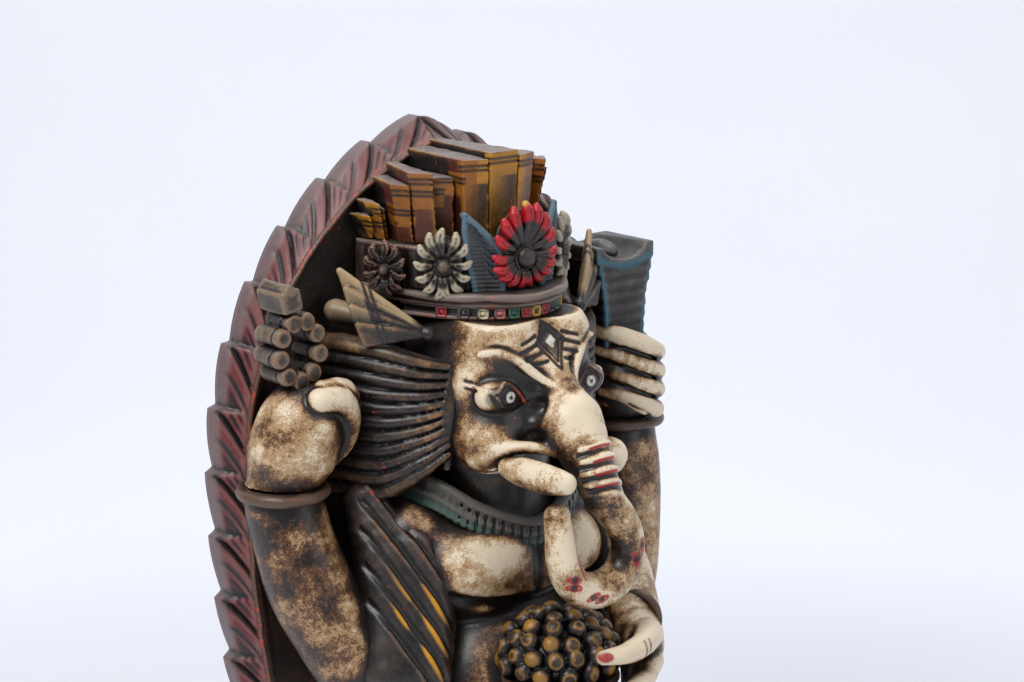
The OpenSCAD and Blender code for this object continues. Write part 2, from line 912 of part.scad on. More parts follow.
// Point of the drum's curved front at angle a
function drum_at(a) = [drum_half_w * cos(a), slab_y + (slab_y - drum_y) * sin(a)];
function drum_facing(a) = atan2(sin(a) * drum_half_w, cos(a) * (slab_y - drum_y));

// Oval plate that stands against the drum at angle a, with a boss at its centre
module rosette_form(a, w, h) {
    p = drum_at(a);
    translate([p[0], p[1], drum_z + h / 2 - 1]) rotate(drum_facing(a)) rotate([90, 0, 90]) {
        translate([0, 0, -3]) linear_extrude(rosette_t + 3) scale([w / h, 1]) circle(d = h, $fn = 48);
        cylinder(d1 = w * 0.36, d2 = w * 0.2, h = rosette_t + 3, $fn = 32);
    }
}

module behind_rosettes() {
    crown_slice(rim_z, band_half_w + 3, band_y - 4, drum_z - rim_z);
    drum_form(drum_z - 1, big);
}

module front_rosette_form() rosette_form(270, rosette_h * 0.9, rosette_h);

module side_rosette_form() rosette_form(227, rosette_h * 0.66, rosette_h * 0.86);

module rear_rosette_form() rosette_form(202, rosette_h * 0.5, rosette_h * 0.66);

module front_rosette() color("#b3202a") difference() {
    front_rosette_form();
    behind_rosettes();
}

module side_rosette() difference() {
    side_rosette_form();
    behind_rosettes();
    front_rosette_form();
    mirror([1, 0, 0]) side_staves();
}

module right_rosette() color("#c8b9a2") side_rosette();

module left_rosette() color("#c8b9a2") mirror([1, 0, 0]) side_rosette();

module rear_rosette() difference() {
    rear_rosette_form();
    behind_rosettes();
    side_rosette_form();
    mirror([1, 0, 0]) side_staves();
}

module right_rear_rosette() color("#b87b66") rear_rosette();

module left_rear_rosette() color("#b87b66") mirror([1, 0, 0]) rear_rosette();

// Pointed blue leaves between the front and side rosettes
module crown_leaf_form() {
    at = drum_at(249);
    translate([at[0], at[1], drum_z]) rotate(drum_facing(249)) rotate([90, 0, 90])
        translate([0, 0, -3]) linear_extrude(3 + rosette_t / 2)
            polygon([[-7, 0], [5, 0], [7, 14], [3, 28], [-5, 38], [-8, 26], [-9, 12]]);
}

module crown_leaf() difference() {
    crown_leaf_form();
    behind_rosettes();
    front_rosette_form();
    side_rosette_form();
}

module crown_leaves() color("#2c6078") for (s = [0, 1]) mirror([s, 0, 0]) crown_leaf();

// Knotted ribbon that fans out from the headband towards the slab
module ribbon_form() {
    before_slab() hull() {
        translate([-head_half_w - 2, -6, band_z - 12]) sphere(r = 4, $fn = 16);
        translate([-head_half_w - 30, slab_y - 28, band_z + 18]) sphere(r = 4, $fn = 16);
        translate([-head_half_w - 24, slab_y - 26, band_z - 16]) sphere(r = 4, $fn = 16);
        translate([-head_half_w - 26, slab_y, band_z + 4]) sphere(r = 8, $fn = 16);
    }
}

module ribbon() difference() {
    ribbon_form();
    ear();
    head_form();
    crown_slice(band_z, band_half_w + 3, band_y - 4, drum_z - band_z);
    drum_form(drum_z, drum_h);
    rear_rosette_form();
}

module right_ribbon() color("#8d7a5c") ribbon();

module left_ribbon() color("#8d7a5c") mirror([1, 0, 0]) ribbon();

// ---- the tree ----

plinth();
seat_pegs();
lotus_seat();
seat_petals();
back_slab();
slab_moulding();
leaf_border_right();
leaf_border_left();
slab_pins();
torso();
chest_pegs();
waist_cloth();
right_leg();
left_leg();
right_anklet();
left_anklet();
head();
trunk();
right_tusk();
left_tusk();
right_ear();
left_ear();
necklace();
right_shawl();
left_shawl();
right_rear_arm();
left_rear_arm();
right_rear_hand();
left_rear_hand();
right_rear_bangle();
left_rear_bangle();
right_front_arm();
left_front_arm();
right_front_hand();
left_front_hand();
right_front_bangle();
left_front_bangle();
rosary();
axe_head();
axe_handle();
sweet_bowl();
sweets();
radish();
radish_leaves();
crown_drum();
crown_centre_stave();
crown_right_staves();
crown_left_staves();
crown_rim();
headband();
headband_stones();
front_rosette();
right_rosette();
left_rosette();
right_rear_rosette();
left_rear_rosette();
crown_leaves();
right_ribbon();
left_ribbon();
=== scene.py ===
"""Looks of a carved and painted wooden Ganesha idol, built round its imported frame.

Forms are modelled in blocks of distances (class Clay), as a carver would: masses are added, hollows
cut, lines pressed in, and the skin is then taken off as a mesh. Lengths in the forms are
millimetres in the frame's own axes; meshes are stored in metres.
"""
import math

import bpy
import numpy as np
import openvdb
from mathutils import Euler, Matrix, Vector


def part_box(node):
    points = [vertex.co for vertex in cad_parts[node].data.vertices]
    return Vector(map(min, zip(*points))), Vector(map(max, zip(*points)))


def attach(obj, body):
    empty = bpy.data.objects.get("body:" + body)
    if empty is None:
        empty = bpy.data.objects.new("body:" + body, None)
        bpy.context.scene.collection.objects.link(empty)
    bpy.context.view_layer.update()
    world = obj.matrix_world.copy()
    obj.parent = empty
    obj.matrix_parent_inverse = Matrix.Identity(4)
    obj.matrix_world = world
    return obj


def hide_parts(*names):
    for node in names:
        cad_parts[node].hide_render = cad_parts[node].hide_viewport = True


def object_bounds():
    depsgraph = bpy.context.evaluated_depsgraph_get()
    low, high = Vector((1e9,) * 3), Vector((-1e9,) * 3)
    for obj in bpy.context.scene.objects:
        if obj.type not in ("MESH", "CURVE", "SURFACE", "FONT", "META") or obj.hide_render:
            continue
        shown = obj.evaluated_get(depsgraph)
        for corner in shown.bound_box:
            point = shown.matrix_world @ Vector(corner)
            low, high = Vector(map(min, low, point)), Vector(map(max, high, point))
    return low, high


bl_info = {
    "name": "Carved Ganesha idol",
    "version": (1, 0, 0),
    "blender": (4, 5, 0),
    "location": "3D View > Sidebar > Idol",
    "description": "Builds the carved and painted pieces of a wooden Ganesha idol round its frame",
    "category": "Object",
}

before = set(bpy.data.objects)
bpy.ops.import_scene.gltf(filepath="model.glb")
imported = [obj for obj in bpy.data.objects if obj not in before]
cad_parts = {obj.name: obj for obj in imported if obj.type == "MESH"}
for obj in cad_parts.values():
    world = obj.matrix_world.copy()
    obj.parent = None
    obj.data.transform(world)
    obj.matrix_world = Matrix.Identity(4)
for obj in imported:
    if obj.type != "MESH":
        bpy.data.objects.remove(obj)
CAD_BOX = [list(corner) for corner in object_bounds()]
MM = 0.001
FAR = 30.0
PIECES = []
SIDES = ((-1, "right"), (1, "left"))      # the figure's own sides, by the sign of X


# ---- places in the frame, in millimetres ----

def low(node):
    return np.array(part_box(node)[0]) / MM


def high(node):
    return np.array(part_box(node)[1]) / MM


def span(node):
    """A node's lowest and highest corners and its middle."""
    return low(node), high(node), (low(node) + high(node)) / 2


SLAB_FRONT = low("back_slab")[1]
SLAB_BACK = high("back_slab")[1]
SLAB_HALF = high("leaf_border_left")[0]
SLAB_TOP = high("leaf_border_left")[2]
PLINTH_TOP = high("plinth")[2]
SEAT_TOP = low("torso")[2]
CHIN = low("head")[2]
BROW_TOP = high("head")[2]
HEAD_HALF = high("head")[0]
FACE_MID = (CHIN + BROW_TOP) / 2
RIM_TOP = high("crown_rim")[2]
DRUM_TOP = high("crown_drum")[2]
CROWN_TOP = high("crown_centre_stave")[2]
STAVE_FRONT = low("crown_centre_stave")[1]


def bend(points, steps=6):
    """Points of a smooth curve through the given ones, with any radius carried along."""
    p = np.array(points, float)
    p = np.vstack([2 * p[0] - p[1], p, 2 * p[-1] - p[-2]])
    t = np.linspace(0, 1, steps, endpoint=False)[:, None]
    runs = []
    for a, b, c, d in zip(p[:-3], p[1:-2], p[2:-1], p[3:]):
        runs.append(0.5 * (2 * b + (c - a) * t + (2 * a - 5 * b + 4 * c - d) * t ** 2
                           + (3 * b - a - 3 * c + d) * t ** 3))
    return np.vstack(runs + [p[-2:-1]])


# ---- forms: each gives its distance function and the box that it fills ----

def turned(degrees):
    return np.array(Euler([math.radians(a) for a in degrees]).to_matrix())


def egg(at, radii, turn=(0, 0, 0)):
    at, radii, axes = np.array(at, float), np.array(radii, float), turned(turn)

    def distance(x, y, z):
        q = [(x - at[0]) * axes[0, i] + (y - at[1]) * axes[1, i] + (z - at[2]) * axes[2, i]
             for i in range(3)]
        near = np.sqrt(sum((q[i] / radii[i]) ** 2 for i in range(3))) + 1e-6
        slope = np.sqrt(sum((q[i] / radii[i] ** 2) ** 2 for i in range(3))) + 1e-6
        return near * (near - 1) / slope

    reach = np.abs(axes) @ radii
    return distance, at - reach, at + reach


def ball(at, r):
    return egg(at, (r, r, r))


def block(at, half, rounding=1.0, turn=(0, 0, 0)):
    at, half, axes = np.array(at, float), np.array(half, float), turned(turn)

    def distance(x, y, z):
        q = [np.abs((x - at[0]) * axes[0, i] + (y - at[1]) * axes[1, i] + (z - at[2]) * axes[2, i])
             - half[i] + rounding for i in range(3)]
        outside = np.sqrt(sum(np.maximum(v, 0) ** 2 for v in q))
        return outside + np.minimum(np.maximum(np.maximum(q[0], q[1]), q[2]), 0) - rounding

    reach = np.abs(axes) @ half
    return distance, at - reach, at + reach


def limb(points):
    """Round-ended rod through points (x, y, z, radius)."""
    p = np.array(points, float)

    def distance(x, y, z):
        best = None
        for a, b in zip(p[:max(len(p) - 1, 1)], p[min(1, len(p) - 1):]):
            along = b[:3] - a[:3]
            t = ((x - a[0]) * along[0] + (y - a[1]) * along[1] + (z - a[2]) * along[2])
            t = np.clip(t / (along @ along + 1e-9), 0, 1)
            d = np.sqrt((x - a[0] - t * along[0]) ** 2 + (y - a[1] - t * along[1]) ** 2
                        + (z - a[2] - t * along[2]) ** 2) - a[3] - t * (b[3] - a[3])
            best = d if best is None else np.minimum(best, d)
        return best

    r = p[:, 3:4]
    return distance, (p[:, :3] - r).min(0), (p[:, :3] + r).max(0)


def rod(path, r):
    return limb([tuple(q[:3]) + (r,) for q in path])


def oval_wall(half_x, half_y, z0, z1, middle_y=SLAB_FRONT):
    """Upright oval block, with its middle in the slab's face unless told otherwise."""
    def distance(x, y, z):
        near = np.sqrt((x / half_x) ** 2 + ((y - middle_y) / half_y) ** 2)
        return np.maximum((near - 1) * min(half_x, half_y), np.maximum(z0 - z, z - z1))

    return distance, np.array([-half_x, middle_y - half_y, z0]), \
        np.array([half_x, middle_y + half_y, z1])


def ring_path(at, radius_a, radius_b, turn=(0, 0, 0), steps=32, start=0, end=360):
    """Points of an oval ring round at, in its own X-Y plane before it is turned."""
    axes, a = turned(turn), np.radians(np.linspace(start, end, steps + 1))
    flat = np.stack([radius_a * np.cos(a), radius_b * np.sin(a), 0 * a], 1)
    return np.array(at, float) + flat @ axes.T


class Clay:
    """Block of distances to a form's skin: negative inside, positive outside."""

    def __init__(self, lowest, highest, step):
        self.step = step
        self.low = np.array(lowest, np.float32)
        count = np.ceil((np.array(highest) - self.low) / step).astype(int) + 1
        self.axes = [self.low[i] + step * np.arange(count[i], dtype=np.float32) for i in range(3)]
        self.d = np.full(count, FAR, np.float32)

    def window(self, lowest, highest, margin):
        cut = []
        for axis, a, b in zip(self.axes, lowest, highest):
            cut.append(slice(int(np.searchsorted(axis, a - margin)),
                             int(np.searchsorted(axis, b + margin))))
        x, y, z = (axis[c] for axis, c in zip(self.axes, cut))
        return tuple(cut), x[:, None, None], y[None, :, None], z[None, None, :]

    def near(self, form, margin):
        distance, lowest, highest = form
        cut, x, y, z = self.window(lowest, highest, margin)
        if min(self.d[cut].shape) == 0:
            return cut, None
        return cut, distance(x, y, z).astype(np.float32)

    def add(self, form, soft=2.0):
        cut, d = self.near(form, soft + 4)
        if d is not None:
            self.d[cut] = melt(self.d[cut], d, soft)
        return self

    def cut(self, form, soft=1.0):
        cut, d = self.near(form, soft + 1)
        if d is not None:
            self.d[cut] = -melt(-self.d[cut], d, soft)
        return self

    def keep_side(self, axis, level, sign):
        """Keeps what lies on one side of a level: sign 1 keeps the higher side."""
        shape = [1, 1, 1]
        shape[axis] = -1
        self.d = np.maximum(self.d, sign * (level - self.axes[axis].reshape(shape)))
        return self

    def press(self, path, width, depth):
        """Presses a line of that half width into the skin, or raises it where depth is negative."""
        line, lowest, highest = rod(path, 0)
        cut, x, y, z = self.window(lowest, highest, 3 * width)
        if min(self.d[cut].shape) > 0:
            away = line(x, y, z) / width
            self.d[cut] += (depth * np.exp(-away ** 2)).astype(np.float32)
        return self

    def ripple(self, amount, size, seed):
        """Uneven skin of hand carving, with swells of about that size."""
        self.d += amount * lattice(self.axes, size, seed)
        return self

    def land(self, points, toward):
        """Moves points along a direction to where they meet the skin."""
        toward = np.array(toward, float) / np.linalg.norm(toward)
        found = []
        for p in np.array(points, float):
            run = p[:3] + toward * np.arange(0, 90, self.step / 2)[:, None]
            hit = np.nonzero(sample(self.d, self.low, self.step, run) < 0)[0]
            found.append(run[hit[0]] if len(hit) else p[:3])
        return np.array(found)

    def front(self, points_xz, start=-110.0):
        return self.land([(x, start, z) for x, z in points_xz], (0, 1, 0))


def melt(a, b, soft):
    """The nearer of two distances, with the seam rounded over."""
    if soft <= 0:
        return np.minimum(a, b)
    h = np.clip(0.5 + 0.5 * (b - a) / soft, 0, 1)
    return b + (a - b) * h - soft * h * (1 - h)


def sample(d, lowest, step, points):
    """Values of a block of distances at points, blended between its cells."""
    q = (points - lowest) / step
    q = np.clip(q, 0, np.array(d.shape) - 1.001)
    i = q.astype(np.int32)
    f = q - i
    total = 0
    for dx in (0, 1):
        for dy in (0, 1):
            for dz in (0, 1):
                w = (np.abs(1 - dx - f[:, 0]) * np.abs(1 - dy - f[:, 1]) * np.abs(1 - dz - f[:, 2]))
                total = total + w * d[i[:, 0] + dx, i[:, 1] + dy, i[:, 2] + dz]
    return total


def lattice(axes, size, seed):
    """Smooth random swells on a grid, between about -1 and 1."""
    rng = np.random.default_rng(seed)
    counts = [int((axis[-1] - axis[0]) / size) + 3 for axis in axes]
    values = rng.uniform(-1, 1, counts).astype(np.float32)
    for i, axis in enumerate(axes):
        t = (axis - axis[0]) / size
        k = t.astype(int)
        f = (t - k).astype(np.float32)
        f = f * f * (3 - 2 * f)
        shape = [1, 1, 1]
        shape[i] = -1
        f = f.reshape(shape)
        values = np.take(values, k, i) * (1 - f) + np.take(values, k + 1, i) * f
    return values


ROUND_DIRECTIONS = np.array([(x, y, z) for x in (-1, 0, 1) for y in (-1, 0, 1) for z in (-1, 0, 1)
                             if (x, y, z) != (0, 0, 0)], float)
ROUND_DIRECTIONS /= np.linalg.norm(ROUND_DIRECTIONS, axis=1)[:, None]


def standing_out(d, lowest, step, points, reach):
    """How far the skin stands out (positive) or lies hollow (negative) within reach."""
    total = np.zeros(len(points))
    for direction in ROUND_DIRECTIONS:
        total += np.clip(sample(d, lowest, step, points + reach * direction), -reach, reach)
    return (total / (reach * len(ROUND_DIRECTIONS))).astype(np.float32)


# ---- meshes ----

def make_mesh(name, points, faces):
    """A mesh from points in millimetres and arrays of triangles or quads."""
    mesh = bpy.data.meshes.new(name)
    faces = [np.asarray(f, np.int32) for f in faces if len(f)]
    mesh.vertices.add(len(points))
    mesh.vertices.foreach_set("co", (np.asarray(points, np.float32) * MM).ravel())
    corners = np.concatenate([f.ravel() for f in faces])
    sizes = np.concatenate([np.full(len(f), f.shape[1], np.int32) for f in faces])
    mesh.loops.add(len(corners))
    mesh.loops.foreach_set("vertex_index", corners)
    mesh.polygons.add(len(sizes))
    mesh.polygons.foreach_set("loop_start", np.concatenate([[0], np.cumsum(sizes)[:-1]]))
    mesh.update(calc_edges=True)
    mesh.shade_smooth()
    return mesh


def put_mask(mesh, name, values):
    layer = mesh.attributes.new(name, "FLOAT", "POINT")
    layer.data.foreach_set("value", np.asarray(values, np.float32))


def line_mask(points, path, width, fade=0.5):
    """1 on a painted line of that half width, falling to 0 past its edge."""
    line = rod(path, 0)[0]
    away = line(points[:, 0], points[:, 1], points[:, 2])
    return np.clip((width + fade - away) / fade, 0, 1)


def painted(points, lines, fade=0.5):
    """1 on any of the painted lines (path, half width), falling to 0 past their edges."""
    total = np.zeros(len(points))
    for path, width in lines:
        total = np.maximum(total, line_mask(points, path, width, fade))
    return total


def spot_mask(points, spots):
    """Sum of soft spots (x, y, z, radius, strength)."""
    total = np.zeros(len(points))
    for x, y, z, r, strength in spots:
        away = ((points - np.array([x, y, z])) ** 2).sum(1)
        total += strength * np.exp(-away / (r * r))
    return total


def put_in_scene(name, data):
    thing = bpy.data.objects.new(name, data)
    bpy.context.scene.collection.objects.link(thing)
    return thing


def place(node, mesh, coat, rub_and_painted_shade=(), sharp=None):
    """Puts a piece in the scene in place of its CAD node."""
    piece = put_in_scene(node, mesh)
    mesh.materials.append(COATS[coat])
    if sharp:
        mesh.set_sharp_from_angle(angle=math.radians(sharp))
    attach(piece, "root")
    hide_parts(node)
    PIECES.append((piece, rub_and_painted_shade))


def points_of(mesh):
    co = np.empty(len(mesh.vertices) * 3, np.float32)
    mesh.vertices.foreach_get("co", co)
    return co.reshape(-1, 3) / MM


def take_skin(clay, adaptivity=0.0):
    """Points and faces of the skin of a block of clay, in millimetres."""
    bound = 3 * clay.step
    grid = openvdb.FloatGrid(bound)
    grid.copyFromArray(np.ascontiguousarray(np.clip(clay.d, -bound, bound)))
    found, triangles, quads = grid.convertToPolygons(0.0, adaptivity)
    return clay.low + clay.step * found, [triangles, quads]


def skin(clay, node, coat, fine=1.6, masks=None, rub_and_painted_shade=(), adaptivity=0.0):
    """Takes the skin off a block of clay and puts it in the scene for a CAD node."""
    points, faces = take_skin(clay, adaptivity)
    mesh = make_mesh(node, points, faces)
    put_mask(mesh, "carve", standing_out(clay.d, clay.low, clay.step, points, fine))
    for mask, values in (masks(points) if masks else {}).items():
        put_mask(mesh, mask, values)
    place(node, mesh, coat, rub_and_painted_shade)


# ---- shader node groups and materials ----

def paint(hex_colour):
    """Linear colour from a hex string."""
    parts = [int(hex_colour[i:i + 2], 16) / 255 for i in (0, 2, 4)]
    return tuple(c / 12.92 if c <= 0.04045 else ((c + 0.055) / 1.055) ** 2.4 for c in parts) + (1,)


class Shelf:
    """Lays out the nodes of one shader tree."""

    def __init__(self, tree):
        self.tree = tree

    def feed(self, node, inputs):
        """Links or sets a node's inputs, by name or number."""
        for key, value in inputs.items():
            if isinstance(value, bpy.types.NodeSocket):
                self.tree.links.new(value, node.inputs[key])
            else:
                node.inputs[key].default_value = value
        return node

    def node(self, kind, inputs=None, **settings):
        n = self.tree.nodes.new(kind)
        for key, value in settings.items():
            setattr(n, key, value)
        return self.feed(n, inputs or {})

    def math(self, operation, a, b=0.0, c=0.0):
        return self.node("ShaderNodeMath", {0: a, 1: b, 2: c}, operation=operation).outputs[0]

    def times_plus(self, a, b, c):
        return self.math("MULTIPLY_ADD", a, b, c)

    def between(self, value, start, end, low_value=0.0, high_value=1.0):
        return self.node("ShaderNodeMapRange", {0: value, 1: start, 2: end, 3: low_value,
                                                4: high_value},
                         interpolation_type="SMOOTHSTEP").outputs[0]

    def mix(self, share, a, b):
        return self.node("ShaderNodeMix", {0: share, 6: a, 7: b}, data_type="RGBA").outputs[2]

    def mask(self, name):
        return self.node("ShaderNodeAttribute", attribute_name=name).outputs["Fac"]

    def noise(self, size_mm, detail=2.0, rough=0.5, stretch=None):
        """Noise with features of about that many millimetres, drawn out by stretch."""
        spot = self.node("ShaderNodeTexCoord").outputs["Object"]
        if stretch:
            spot = self.node("ShaderNodeMapping", {"Vector": spot, "Scale": stretch}).outputs[0]
        return self.node("ShaderNodeTexNoise", {"Vector": spot, "Scale": 1 / (size_mm * MM),
                                                "Detail": detail, "Roughness": rough}).outputs[0]


def new_group(name, inputs, outputs):
    """An empty node group with named sockets: its shelf, input sockets and output node."""
    group = bpy.data.node_groups.new(name, "ShaderNodeTree")
    for label, kind, value in inputs:
        socket = group.interface.new_socket(label, in_out="INPUT", socket_type=kind)
        socket.default_value = value
    for label, kind in outputs:
        group.interface.new_socket(label, in_out="OUTPUT", socket_type=kind)
    shelf = Shelf(group)
    return group, shelf, shelf.node("NodeGroupInput").outputs, shelf.node("NodeGroupOutput")


COLOUR, NUMBER = "NodeSocketColor", "NodeSocketFloat"
GROUPS, COATS = {}, {}


def make_rubbed_paint():
    """Paint that is whole on proud parts, rubbed to brown below them and black in the hollows, and
    painted lighter on upward and front faces as if lit from above and in front.
    """
    group, s, given, out = new_group("Rubbed paint", [
        ("Light", COLOUR, paint("f4e4cb")), ("Paint", COLOUR, paint("d9bf97")),
        ("Middle", COLOUR, paint("8a6238")), ("Ground", COLOUR, paint("1d1614")),
        ("Cover", NUMBER, 0.5), ("Form gain", NUMBER, 1.5), ("Carving gain", NUMBER, 2.0),
        ("Depth gain", NUMBER, 0.8), ("Handled gain", NUMBER, 0.1), ("Speckle", NUMBER, 0.5),
        ("Patches", NUMBER, 0.5)],
        [("Color", COLOUR), ("Cover", NUMBER)])
    cover = s.times_plus(s.mask("form"), given["Form gain"], given["Cover"])
    cover = s.times_plus(s.mask("carve"), given["Carving gain"], cover)
    cover = s.times_plus(s.mask("depth"), given["Depth gain"], cover)
    # Given spots: positive ones rub the paint lighter, negative ones are painted shade in hollows
    # and on undersides
    cover = s.math("ADD", cover, s.mask("rub_and_painted_shade"))
    way = s.node("ShaderNodeSeparateXYZ",
                 {0: s.node("ShaderNodeNewGeometry").outputs["Normal"]}).outputs
    # Upward and front-facing faces get more cover: partly handling wear, partly painted light from
    # above and in front
    handled_and_top_light = s.times_plus(way[1], -0.7, s.math("MULTIPLY", way[2], 0.9))
    cover = s.times_plus(handled_and_top_light, given["Handled gain"], cover)
    for size, detail, rough, amount in ((42, 2, 0.5, "Patches"), (13, 4, 0.6, "Patches"),
                                        (2.6, 5, 0.75, "Speckle"), (0.8, 3, 0.7, "Speckle")):
        swing = s.math("SUBTRACT", s.noise(size, detail, rough), 0.5)
        cover = s.times_plus(swing, given[amount], cover)
    colour = s.mix(s.between(cover, 0.22, 0.52), given["Ground"], given["Middle"])
    colour = s.mix(s.between(cover, 0.5, 0.68), colour, given["Paint"])
    colour = s.mix(s.between(cover, 0.72, 1.05), colour, given["Light"])
    s.tree.links.new(colour, out.inputs["Color"])
    s.tree.links.new(s.between(cover, 0.3, 0.8), out.inputs["Cover"])
    GROUPS["rubbed"] = group


def make_dust():
    """Grey dust that lies on upward faces, in patches."""
    group, s, given, out = new_group("Dust", [
        ("Color", COLOUR, (0, 0, 0, 1)), ("Dust", COLOUR, paint("8d8580")),
        ("Amount", NUMBER, 0.4)],
        [("Color", COLOUR), ("Dusty", NUMBER)])
    up = s.node("ShaderNodeSeparateXYZ",
                {0: s.node("ShaderNodeNewGeometry").outputs["Normal"]}).outputs[2]
    settled = s.between(up, 0.15, 0.95)
    settled = s.math("MULTIPLY", settled, s.between(s.noise(5, 4, 0.7), 0.3, 0.7, 0.35, 1.0))
    settled = s.math("MULTIPLY", settled, given["Amount"])
    s.tree.links.new(s.mix(settled, given["Color"], given["Dust"]), out.inputs["Color"])
    s.tree.links.new(settled, out.inputs["Dusty"])
    GROUPS["dust"] = group


def make_flecks():
    """Undercoat that glints through in small flecks, most along sharp edges."""
    group, s, given, out = new_group("Undercoat flecks", [
        ("Color", COLOUR, (0, 0, 0, 1)), ("Fleck", COLOUR, paint("b8431f")),
        ("Amount", NUMBER, 0.3)], [("Color", COLOUR)])
    edge = s.between(s.mask("carve"), -0.05, 0.3, 0.0, 0.12)
    level = s.math("ADD", s.noise(2.2, 4, 0.65), edge)
    level = s.math("ADD", level, s.math("MULTIPLY", s.noise(17, 2, 0.5), 0.35))
    start = s.times_plus(given["Amount"], -0.22, 0.92)
    fleck = s.math("MULTIPLY", s.between(s.math("SUBTRACT", level, start), 0.0, 0.05), 0.85)
    s.tree.links.new(s.mix(fleck, given["Color"], given["Fleck"]), out.inputs["Color"])
    GROUPS["flecks"] = group


def make_tool_marks():
    """Height of gouge facets, grain along Z and small pits."""
    group, s, given, out = new_group("Tool marks", [
        ("Facets", NUMBER, 0.5), ("Grain", NUMBER, 0.3), ("Pits", NUMBER, 0.3)],
        [("Height", NUMBER)])
    height = s.math("MULTIPLY", s.noise(4.5, 2, 0.45), given["Facets"])
    height = s.times_plus(s.noise(1.1, 3, 0.6, (1, 1, 0.08)), given["Grain"], height)
    pits = s.between(s.noise(1.3, 2, 0.5), 0.60, 0.72, 0.0, -1.0)
    height = s.times_plus(pits, given["Pits"], height)
    height = s.times_plus(s.noise(0.35, 2, 0.6), 0.12, height)
    s.tree.links.new(height, out.inputs["Height"])
    GROUPS["marks"] = group


def mix_coat(key, name, light, cover_colour, middle, ground, cover=0.5, form=1.5, carving=2.0,
                depth=0.8, handled_and_top_light=0.1, speckle=0.5, patches=0.5, accents=(), dust=0.3, flecks=0.15,
                grain=0.2, facets=0.6, bump=0.35, gloss=(0.34, 0.5), coat=0.25):
    """A worn painted wood finish; accents are (mask, colour, strength) painted over it."""
    material = bpy.data.materials.new(name)
    material.use_nodes = True
    s = Shelf(material.node_tree)
    s.tree.nodes.clear()

    def use(group, **inputs):
        named = {key.replace("_", " "): value for key, value in inputs.items()}
        return s.feed(s.node("ShaderNodeGroup", node_tree=GROUPS[group]), named).outputs

    rubbed = use("rubbed", Light=paint(light), Paint=paint(cover_colour), Middle=paint(middle),
                 Ground=paint(ground), Cover=cover, Form_gain=form, Carving_gain=carving,
                 Depth_gain=depth, Handled_gain=handled_and_top_light, Speckle=speckle, Patches=patches)
    colour = use("flecks", Color=rubbed["Color"], Amount=flecks)["Color"]
    for mask, tint, strength in accents:
        worn = s.between(s.math("ADD", s.noise(1.6, 4, 0.7), s.mask("carve")), 0.2, 0.5, 0.25, 1.0)
        share = s.math("MULTIPLY", s.math("MULTIPLY", s.mask(mask), strength), worn)
        colour = s.mix(share, colour, paint(tint))
    dusted = use("dust", Color=colour, Amount=dust)
    marks = use("marks", Facets=facets, Grain=grain, Pits=0.35)["Height"]
    rough = s.between(rubbed["Cover"], 0.0, 1.0, gloss[0], gloss[1])
    rough = s.times_plus(s.noise(3.5, 3, 0.6), 0.16, rough)
    rough = s.times_plus(dusted["Dusty"], 0.35, rough)
    height = s.times_plus(rubbed["Cover"], 0.35, marks)
    bumped = s.node("ShaderNodeBump", {"Height": height, "Strength": bump, "Distance": 0.0007})
    shader = s.node("ShaderNodeBsdfPrincipled", {
        "Base Color": dusted["Color"], "Roughness": rough, "Normal": bumped.outputs[0],
        "Coat Weight": coat, "Coat Roughness": 0.28, "IOR": 1.46})
    s.node("ShaderNodeOutputMaterial", {"Surface": shader.outputs[0]})
    COATS[key] = material


